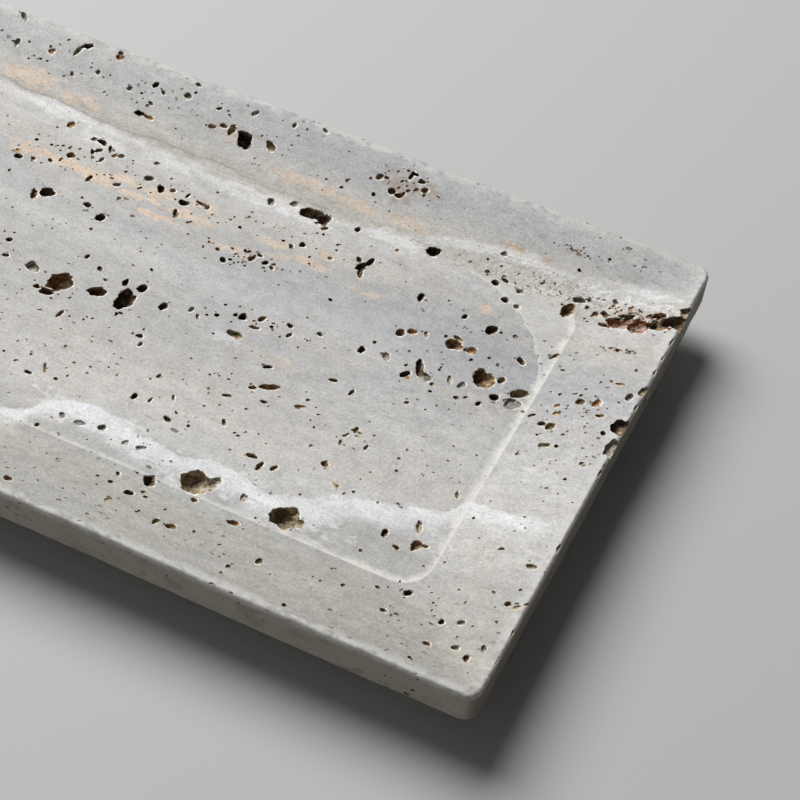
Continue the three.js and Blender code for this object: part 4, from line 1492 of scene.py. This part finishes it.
        # Without a seed, vector noise starts from the clock and each run would differ
        noise.seed_set(self.seed)
        for i in np.flatnonzero(z > self.base_z + self.base_band):
            place = Vector((x[i], y[i], z[i]))
            slow = noise.noise_vector(place / self.slow_size)
            quick = noise.noise_vector(place / self.quick_size)
            edge = math.exp(-max(inset[i], 0) / self.edge_reach)
            x[i] += self.slow_edge * slow.x * edge + self.quick_edge * quick.x * edge
            y[i] += self.slow_edge * slow.y * edge + self.quick_edge * quick.y * edge
            z[i] += self.slow_face * slow.z + self.quick_face * quick.z + self.quick_drop * quick.z * edge
        move_to(stone.data, np.stack([x, y, z], axis=1) * MM)
        with editing(stone):
            bpy.ops.mesh.select_all(action="SELECT")
            bpy.ops.mesh.quads_convert_to_tris()

    def _sink(self, ground: BVHTree, void: Void, seed: float, start: Vector | None = None,
              way: Vector = Vector((0, 0, -1)), along: Vector = Vector((1, 0, 0))) -> None:
        """Sets a void into the surface that a ray meets.

        Args:
            ground: the uncut surface.
            void: its sizes, turn and lining.
            seed: what makes its wall its own.
            start: where the ray starts, in millimetres, or none for above the void's place in the plan.
            way: where the ray goes.
            along: the direction that the void's length is turned from.
        """
        if start is None:
            x = min(void.x, self.length / 2 - self.ray_inset)
            y = min(void.y, self.width / 2 - self.ray_inset)
            start = Vector((x, y, 2 * self.rim_z))
        mouth, normal, _, _ = ground.ray_cast(start * MM, way)
        if mouth is None:
            return
        side = normal.cross(along).normalized()
        along = side.cross(normal).normalized()
        turn = math.radians(void.turn)
        first = along * math.cos(turn) + side * math.sin(turn)
        second = normal.cross(first)
        half = Vector((void.long / 2, void.wide / 2, void.deep * void.lining.sink)) * MM
        rise = normal + Vector(self.lean) if normal.z > UPPER else normal
        axes = Matrix((first * half.x, second * half.y, rise * half.z)).transposed()
        self._add_bubble(mouth, axes, void.long, void.lining, seed)
        if void.long > self.lobed_from:
            chance = random.Random(seed)
            slide = self.lobe_slide
            lobes = self.few_lobes if void.long < 2 * self.lobed_from else self.many_lobes
            for lobe in range(lobes):
                share = chance.uniform(*self.lobe_size)
                aside = first * half.x * chance.uniform(-slide, slide)
                aside += second * half.y * chance.uniform(-slide, slide)
                self._add_bubble(mouth + aside, axes * share, void.long * share, void.lining, seed + lobe + 1)

    def _add_bubble(self, mouth: Vector, axes: Matrix, long: float, lining: Lining, seed: float) -> None:
        """Keeps a bubble to be cut, with the plug that suits its size.

        Args:
            mouth: the middle of its mouth.
            axes: its half length, half width and depth, as columns.
            long: its length in millimetres.
            lining: what coats it.
            seed: what makes its wall its own.
        """
        smaller = Plug.MEDIUM if long > self.medium_from else Plug.SMALL
        plug = Plug.LARGE if long > self.large_from else smaller
        reach = (self.reach_long * long + self.lip) * MM + self.reach_deep * axes.col[2].length
        self.bubbles.append(Bubble(mouth, axes, reach, plug, lining, seed))

    def _scatter_top(self, ground: BVHTree) -> None:
        """Scatters the swarms of small voids, some of them in pairs, over the upper surface.

        Args:
            ground: the uncut surface.
        """
        chance = random.Random(self.seed)
        for swarm in SWARMS:
            for _ in range(swarm.count):
                x, y = chance.gauss(swarm.x, swarm.spread_x), chance.gauss(swarm.y, swarm.spread_y)
                long = max(swarm.long * chance.lognormvariate(0, self.swarm_unequal), self.smallest)
                wide = long * chance.uniform(*self.swarm_width)
                lining = chance.choice((swarm.lining, swarm.lining, UMBER, OCHRE, DARK))
                deep = wide * chance.uniform(*self.swarm_depth)
                void = Void(x, y, long, wide, deep, chance.gauss(*self.swarm_turn), lining)
                seed = chance.uniform(0, self.seed_range)
                twin_x = x + long * chance.uniform(-self.twin_slide, self.twin_slide)
                twin_y = y + long * chance.uniform(-self.twin_slide, self.twin_slide)
                sizes = (share * size for share, size in zip(self.twin_size, (long, wide, deep)))
                twin = Void(twin_x, twin_y, *sizes, chance.uniform(0, 180), lining)
                inset = self.swarm_inset
                if abs(x) < self.length / 2 - inset and abs(y) < self.width / 2 - inset:
                    self._sink(ground, void, seed)
                    if chance.random() < self.twin_chance:
                        self._sink(ground, twin, seed + 1)

    def _scatter_sides(self, ground: BVHTree) -> None:
        """Scatters small voids, drawn out along the beds, over the rim's faces and the underside.

        Args:
            ground: the uncut surface.
        """
        chance = random.Random(self.seed + 1)
        for number in range(self.side_voids + self.under_voids):
            x = chance.uniform(-self.side_span, self.side_span) * self.length
            y = chance.uniform(-self.side_span, self.side_span) * self.width
            z = self.rim_z - chance.uniform(*self.side_height) * self.rim_face
            long = self.side_long * chance.lognormvariate(0, self.side_unequal)
            wide = long * chance.uniform(*self.side_width)
            turn = chance.gauss(0, self.side_turn)
            void = Void(x, y, long, wide, wide, turn, chance.choice((UMBER, OLIVE)))
            start, way, along = Vector((x, y, -self.rim_z)), Vector((0, 0, 1)), Vector((1, 0, 0))
            if number < self.side_voids:
                end = chance.random() * (self.length + self.width) > self.length
                sign = chance.choice((-1, 1))
                way = Vector((-sign, 0, 0)) if end else Vector((0, -sign, 0))
                along = Vector((0, 1, 0)) if end else along
                start = Vector((sign * self.length, y, z)) if end else Vector((x, sign * self.width, z))
            self._sink(ground, void, chance.uniform(0, self.seed_range), start, way, along)

    def _chip_rim(self, ground: BVHTree) -> None:
        """Nicks the upper edge of the rim.

        Args:
            ground: the uncut surface.
        """
        chance = random.Random(self.seed + 2)
        for _ in range(self.chips):
            end = chance.random() * (self.length + self.width) > self.length
            sign = chance.choice((-1, 1))
            inset = chance.uniform(*self.chip_inset)
            share = chance.uniform(-self.chip_span, self.chip_span)
            x = sign * (self.length / 2 - inset) if end else share * self.length
            y = share * self.width if end else sign * (self.width / 2 - inset)
            long = self.chip_long * chance.lognormvariate(0, self.chip_unequal)
            wide, deep = (size * long for size in self.chip_size)
            turn = chance.gauss(90 if end else 0, self.chip_turn)
            void = Void(x, y, long, wide, deep, turn, chance.choice((GREY, OLIVE, CHALK)))
            self._sink(ground, void, chance.uniform(0, self.seed_range))

    def _layers(self) -> list[list[Bubble]]:
        """Shares the bubbles out so that no two in a layer touch.

        Returns:
            The layers, in the order they are cut.
        """
        layers: list[list[Bubble]] = []
        for bubble in self.bubbles:
            for layer in layers:
                if all((bubble.mouth - other.mouth).length > bubble.reach + other.reach for other in layer):
                    layer.append(bubble)
                    break
            else:
                layers.append([bubble])
        return layers

    def _stack(self, plug: Plug) -> bpy.types.Object:
        """Models a plug as unit rings, one step apart: the lid at 1, the mouth at 0 and the pole lowest.

        Args:
            plug: how many sides and rings it has.

        Returns:
            The stack, to be copied and shaped for each void.
        """
        bpy.ops.object.select_all(action="DESELECT")
        bpy.ops.mesh.primitive_circle_add(vertices=plug.sides, radius=1.0, fill_type="NGON")
        stack = bpy.context.object
        with editing(stack):
            bpy.ops.mesh.select_all(action="SELECT")
            bpy.ops.transform.translate(value=(0, 0, 1))
            for _ in range(2 + plug.lip_rings + len(plug.bowl)):
                bpy.ops.mesh.extrude_region_move(TRANSFORM_OT_translate={"value": (0, 0, -1)})
            bpy.ops.mesh.merge(type="CENTER")
            bpy.ops.mesh.select_all(action="SELECT")
            bpy.ops.mesh.normals_make_consistent(inside=False)
        return stack

    def _rings(self, bubble: Bubble) -> list[tuple[float, float, float]]:
        """Works out a void's rings, from its lid down to its pole.

        Args:
            bubble: the void.

        Returns:
            Each ring's height in metres, its radius as a share of the void's, and how far the worn lip
            widens it.
        """
        deep = bubble.frame.col[2].length
        lip = min(self.lip * MM, self.lip_share * deep) if bubble.plug.lip_rings else 0.0
        steep = self.steepness + bubble.lining.sink
        rings = [(self.lid * bubble.reach, 1.0, lip), (0.0, 1.0, lip)]
        for ring in range(bubble.plug.lip_rings):
            share = (ring + 1) / bubble.plug.lip_rings
            rings.append((-share * self.lip_slope * lip, 1.0, lip * (1 - share) ** 2))
        top = -self.lip_slope * lip
        for share in bubble.plug.bowl:
            belly = 1 + self.undermined * math.sin(math.pi * share)
            rings.append((top - share * (deep + top), belly * (1 - share**steep) ** 0.5, 0.0))
        return rings + [(-deep, 0.0, 0.0)]

    def _swell(self, spot: Vector) -> float:
        """Swells a void's wall by noise.

        Args:
            spot: the place on the wall, in half lengths of the void.

        Returns:
            What the wall's distance from the void's middle is multiplied by.
        """
        often, far = self.bulge
        swell = 1 + far * noise.noise(often * spot)
        often, far = self.fold
        swell += far * (abs(noise.noise(often * spot)) - self.fold_mean)
        often, far = self.grit
        return swell + far * noise.noise(often * spot)

    def _blown(self, bubble: Bubble, stack: bpy.types.Object) -> bpy.types.Object:
        """Copies a stack of rings and gives it a bubble's size, place, swollen wall and worn lip.

        Args:
            bubble: the void.
            stack: its plug as unit rings.

        Returns:
            The cutter.
        """
        cutter = stack.copy()
        cutter.data = stack.data.copy()
        bpy.context.collection.objects.link(cutter)
        rings = self._rings(bubble)
        shift = Vector([bubble.seed * way for way in self.noise_way])
        length, width, depth = bubble.frame.col
        up = depth.normalized()
        often, far = self.sag
        for vertex in cutter.data.vertices:
            height, share, lip = rings[1 - round(vertex.co.z)]
            x, y = vertex.co.x, vertex.co.y
            spot = Vector((x, y, self.noise_height * height / depth.length)) + shift
            swell = self._swell(spot)
            if height < 0:
                height *= 1 + far * noise.noise(often * spot - shift)
            side = length * x * share * swell + width * y * share * swell
            side += (length.normalized() * x + width.normalized() * y) * lip
            vertex.co = bubble.mouth + side + up * height
        return cutter

    def _open_voids(self, stone: bpy.types.Object) -> None:
        """Cuts every bubble out of the stone, a layer at a time.

        Args:
            stone: the carved slab, which is changed.
        """
        stacks = {plug: self._stack(plug) for plug in Plug}
        for layer in self._layers():
            cutters = [self._blown(bubble, stacks[bubble.plug]) for bubble in layer]
            bpy.ops.object.select_all(action="DESELECT")
            for cutter in cutters:
                cutter.select_set(True)
            bpy.context.view_layer.objects.active = cutters[0]
            if len(cutters) > 1:
                bpy.ops.object.join()
            only(stone)
            cut = stone.modifiers.new("voids", "BOOLEAN")
            cut.operation = "DIFFERENCE"
            cut.solver = "MANIFOLD"
            cut.object = cutters[0]
            before = len(stone.data.vertices)
            bpy.ops.object.modifier_apply(modifier=cut.name)
            LOG.info("cut %d voids: %d to %d vertices", len(layer), before, len(stone.data.vertices))
            bpy.data.objects.remove(cutters[0])
        for stack in stacks.values():
            bpy.data.objects.remove(stack)
        self._drop_crumbs(stone)

    def _drop_crumbs(self, stone: bpy.types.Object) -> None:
        """Deletes the crumbs that voids cut free, and keeps the slab.

        Args:
            stone: the cut slab, which is changed.
        """
        pick_none(stone, "VERT")
        lowest = int(np.argmin(places_of(stone.data)[:, 2]))
        stone.data.vertices[lowest].select = True
        with editing(stone):
            bpy.ops.mesh.select_linked()
            bpy.ops.mesh.select_all(action="INVERT")
            bpy.ops.mesh.delete(type="VERT")

    def _line_voids(self, stone: bpy.types.Object, depths: np.ndarray) -> None:
        """Colours the walls of the voids in an attribute, each face from the lining of its void, with a
        painted highlight on the lip and painted shade deeper down.

        Args:
            stone: the cut slab, which gets the attribute.
            depths: how deep each vertex lies below the uncut surface, in metres.
        """
        mouths = KDTree(len(self.bubbles))
        for i, bubble in enumerate(self.bubbles):
            mouths.insert(bubble.mouth, i)
        mouths.balance()
        into = [bubble.frame.inverted() for bubble in self.bubbles]
        lip_depth = self.lip_band * self.lip_slope * self.lip * MM
        mesh = stone.data
        colours = np.zeros((len(mesh.loops), 4))
        for face in mesh.polygons:
            deepest = max(face.vertices, key=lambda v: depths[v])
            if depths[deepest] < WALL_FROM:
                continue
            place = mesh.vertices[deepest].co
            near = mouths.find_range(place, self.widest * MM)
            shares = [((into[n] @ (place - mouth)).length, n) for mouth, n, _ in near]
            bubble = self.bubbles[min(shares, default=(0.0, 0))[1]]
            on_lip = bubble.plug.lip_rings > 0 and depths[deepest] < lip_depth
            # A lip face gets a pale painted highlight
            tint = np.array(linear(self.lip_highlight if on_lip else bubble.lining.colour))
            share = min(depths[deepest] / bubble.frame.col[2].length, 1)
            # Painted shade, darker deeper in the void
            tint[:3] *= self.painted_mouth_tone - self.painted_depth_shade * share
            tint[3] = self.lip_highlight_cover if on_lip else self.wall_cover
            colours[face.loop_start : face.loop_start + face.loop_total] = tint
        layer = mesh.attributes.new("lining", "FLOAT_COLOR", "CORNER")
        layer.data.foreach_set("color", colours.ravel())

    def _smooth(self, stone: bpy.types.Object, depths: np.ndarray) -> None:
        """Shades the stone smooth, with crisp edges only round the voids' mouths and the base.

        Args:
            stone: the cut slab, which is changed.
            depths: how deep each vertex lies below the uncut surface, in metres.
        """
        mesh = stone.data
        surface, wall, base = range(3)
        kinds = np.full(len(mesh.polygons), surface)
        for face in mesh.polygons:
            if max(depths[v] for v in face.vertices) > WALL_FROM:
                kinds[face.index] = wall
            elif face.normal.z < -LEVEL:
                kinds[face.index] = base
        edge_of_loop = np.empty(len(mesh.loops), dtype=int)
        mesh.loops.foreach_get("edge_index", edge_of_loop)
        kind_of_loop = np.repeat(kinds, [face.loop_total for face in mesh.polygons])
        least, most = np.full(len(mesh.edges), base), np.full(len(mesh.edges), surface)
        np.minimum.at(least, edge_of_loop, kind_of_loop)
        np.maximum.at(most, edge_of_loop, kind_of_loop)
        only(stone)
        bpy.ops.object.shade_smooth()
        pick_none(stone, "EDGE")
        mesh.edges.foreach_set("select", least != most)
        with editing(stone):
            bpy.ops.mesh.mark_sharp()
        even = stone.modifiers.new("even_shading", "WEIGHTED_NORMAL")
        even.mode = "FACE_AREA"
        even.keep_sharp = True
        bpy.ops.object.modifier_apply(modifier=even.name)

    def dress(self, stone: bpy.types.Object) -> None:
        """Gives the stone its finish.

        Args:
            stone: the finished mesh.
        """
        finish = TravertineFinish(self.length / 2, self.width / 2, self.rim_z, self.rim_z - self.recess,
                                  self.border, self.crease_corner, self.rim_corner, self.wheel_radius)
        stone.data.materials.clear()
        stone.data.materials.append(finish.make())


@dataclass
class Foot:
    """One foot: a die-cut felt disc and the film that holds it to the stone. Lengths are in millimetres."""

    corner: Corner
    felt_edge: float = 0.45
    film_edge: float = 0.08
    sides: int = 72
    rings: int = 3
    # Fur at the felt's edge: the size of its tufts, how far they draw in, and where it starts
    tuft: float = 1.1
    fur: float = 0.16
    furred_from: float = 0.85
    crisp_angle: float = 50.0

    def _disc(self, node: str, round_edge: float) -> bpy.types.Object:
        """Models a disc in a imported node's place, with a round edge and rings on its faces.

        Args:
            node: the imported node.
            round_edge: radius of its edges, in millimetres.

        Returns:
            The disc.
        """
        low, high = Vector(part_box(node)[0]), Vector(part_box(node)[1])
        middle, size = (low + high) / 2, high - low
        bpy.ops.object.select_all(action="DESELECT")
        bpy.ops.mesh.primitive_cylinder_add(
            vertices=self.sides, radius=size.x / 2, depth=size.z, location=middle)
        disc = bpy.context.object
        bpy.ops.object.transform_apply(location=True, rotation=True, scale=True)
        pick_none(disc, "EDGE")
        heights = places_of(disc.data)[:, 2]
        for edge in disc.data.edges:
            first, second = edge.vertices
            edge.select = bool(abs(heights[first] - heights[second]) < size.z / 2)
        with editing(disc):
            bpy.ops.mesh.bevel(offset=round_edge * MM, segments=3, profile=0.6, affect="EDGES")
        pick_none(disc, "FACE")
        for face in disc.data.polygons:
            face.select = abs(face.normal.z) > LEVEL and len(face.vertices) == self.sides
        with editing(disc):
            # The rings leave the middle third of each face
            for _ in range(self.rings):
                bpy.ops.mesh.inset(thickness=size.x / (3 * self.rings), use_individual=True)
        return disc

    def _furred(self, felt: bpy.types.Object) -> None:
        """Draws the edge of a felt disc in unevenly, as cut fibres leave it.

        Args:
            felt: the disc, which is changed.
        """
        places = places_of(felt.data)
        centre = places.mean(axis=0)
        reach = np.linalg.norm(places[:, :2] - centre[:2], axis=1)
        for i in np.flatnonzero(reach > self.furred_from * reach.max()):
            fur = noise.noise(Vector(places[i]) / (self.tuft * MM)) * self.fur * MM
            places[i, :2] -= (places[i, :2] - centre[:2]) / reach[i] * abs(fur)
        move_to(felt.data, places)

    def _dress(self, piece: bpy.types.Object, material: bpy.types.Material) -> None:
        """Shades a disc smooth between its crisp edges and gives it its material.

        Args:
            piece: the disc, which is changed.
            material: what it is made of.
        """
        only(piece)
        bpy.ops.object.shade_smooth_by_angle(angle=math.radians(self.crisp_angle))
        piece.data.materials.append(material)

    def felt(self, material: bpy.types.Material) -> bpy.types.Object:
        """Models the felt.

        Args:
            material: what it is made of.

        Returns:
            The felt, with a furred edge.
        """
        felt = self._disc(f"felt_foot_{self.corner.value}", self.felt_edge)
        felt.name = f"foot_felt_{self.corner.value}"
        self._furred(felt)
        self._dress(felt, material)
        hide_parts(f"felt_foot_{self.corner.value}")
        return felt

    def film(self, material: bpy.types.Material) -> bpy.types.Object:
        """Models the adhesive film.

        Args:
            material: what it is made of.

        Returns:
            The film.
        """
        film = self._disc(f"foot_adhesive_{self.corner.value}", self.film_edge)
        film.name = f"foot_film_{self.corner.value}"
        self._dress(film, material)
        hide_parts(f"foot_adhesive_{self.corner.value}")
        return film


@dataclass
class Studio:
    """A plain pale table, one soft window light from the rear left, and the camera."""

    # The camera that fits the photograph's edges: lengths in millimetres, angles in degrees
    target: tuple[float, float, float] = (98.2, -5.2, 22.0)
    azimuth: float = 21.06
    elevation: float = 48.70
    roll: float = 5.98
    distance: float = 511.6
    lens: float = 95.2
    sensor: float = 36.0
    # The table and the light: lengths in metres, power in watts
    table: str = "#BEBEBD"
    table_size: float = 6.0
    table_roughness: float = 0.7
    nearest: float = 0.01
    window_size: float = 1.1
    window_power: float = 26.8
    window_way: tuple[float, float, float] = (-0.49, 0.31, 0.82)
    window_distance: float = 1.5
    window_aim: tuple[float, float, float] = (0.06, 0.0, 0.0)
    fill: str = "#F2F3F5"
    fill_level: float = 0.12
    # How much stronger the fill is from each side
    fill_slope: tuple[float, float, float] = (-0.12, -0.09, 0.0)

    def camera(self) -> None:
        """Sets up the camera at the photograph's angle."""
        turn, tilt, roll = (math.radians(a) for a in (self.azimuth, self.elevation, self.roll))
        back = Vector((math.sin(turn) * math.cos(tilt), -math.cos(turn) * math.cos(tilt), math.sin(tilt)))
        level = Vector((math.cos(turn), math.sin(turn), 0))
        upright = back.cross(level)
        right = level * math.cos(roll) + upright * math.sin(roll)
        up = upright * math.cos(roll) - level * math.sin(roll)
        data = bpy.data.cameras.new("camera")
        data.lens = self.lens
        data.sensor_width = self.sensor
        data.clip_start = self.nearest
        camera = bpy.data.objects.new("camera", data)
        bpy.context.collection.objects.link(camera)
        place = Matrix((right, up, back)).transposed().to_4x4()
        place.translation = (Vector(self.target) + back * self.distance) * MM
        camera.matrix_world = place
        bpy.context.scene.camera = camera

    def floor(self) -> None:
        """Lays the table."""
        bpy.ops.object.select_all(action="DESELECT")
        bpy.ops.mesh.primitive_plane_add(size=self.table_size)
        table = bpy.context.object
        table.name = "table"
        shading = Shading(bpy.data.materials.new("pale_table"))
        looks = {"Base Color": linear(self.table), "Roughness": self.table_roughness}
        table.data.materials.append(shading.finish(shading.add("BsdfPrincipled", looks)))
        table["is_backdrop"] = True

    def lights(self) -> None:
        """Hangs the window light and sets the fill."""
        data = bpy.data.lights.new("window", "AREA")
        data.shape = "DISK"
        data.size = self.window_size
        data.energy = self.window_power
        window = bpy.data.objects.new("window", data)
        bpy.context.collection.objects.link(window)
        way = Vector(self.window_way).normalized()
        window.location = way * self.window_distance + Vector(self.window_aim)
        window.rotation_euler = way.to_track_quat("Z", "Y").to_euler()
        world = bpy.data.worlds.new("fill")
        bpy.context.scene.world = world
        sky = Shading(world)
        ways = sky.add("TexCoord").outputs["Generated"]
        share = sky.add("VectorMath", {0: ways, 1: self.fill_slope}, operation="DOT_PRODUCT").outputs["Value"]
        level = sky.add("Math", {0: share, 1: self.fill_level}, operation="ADD")
        glow = sky.add("Background", {"Color": linear(self.fill), "Strength": level})
        sky.add("OutputWorld", {"Surface": glow})

    def build(self) -> None:
        """Sets up camera, table and light."""
        self.camera()
        self.floor()
        self.lights()
        bpy.context.scene.view_settings.view_transform = "Standard"


def main() -> None:
    """Builds the tray and its studio, and reports each piece."""
    logging.basicConfig(level=logging.INFO, format="%(name)s: %(message)s")
    Studio().build()
    body = TrayBody()
    stone = body.build()
    body.dress(stone)
    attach(stone, BODY)
    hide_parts("tray_body")
    triangles = sum(len(p.vertices) - 2 for p in stone.data.polygons)
    LOG.info("%s: %d triangles", stone.name, triangles)
    felt, film = FeltFinish().make(), AdhesiveFinish().make()
    for corner in Corner:
        foot = Foot(corner)
        for piece in (foot.felt(felt), foot.film(film)):
            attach(piece, BODY)
            LOG.info("%s: %d faces", piece.name, len(piece.data.polygons))
    boxes = {"cad": CAD_BOX, "visual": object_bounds()}
    {name: [list(map(float, corner)) for corner in box] for name, box in boxes.items()}


if __name__ == "__main__":
    main()
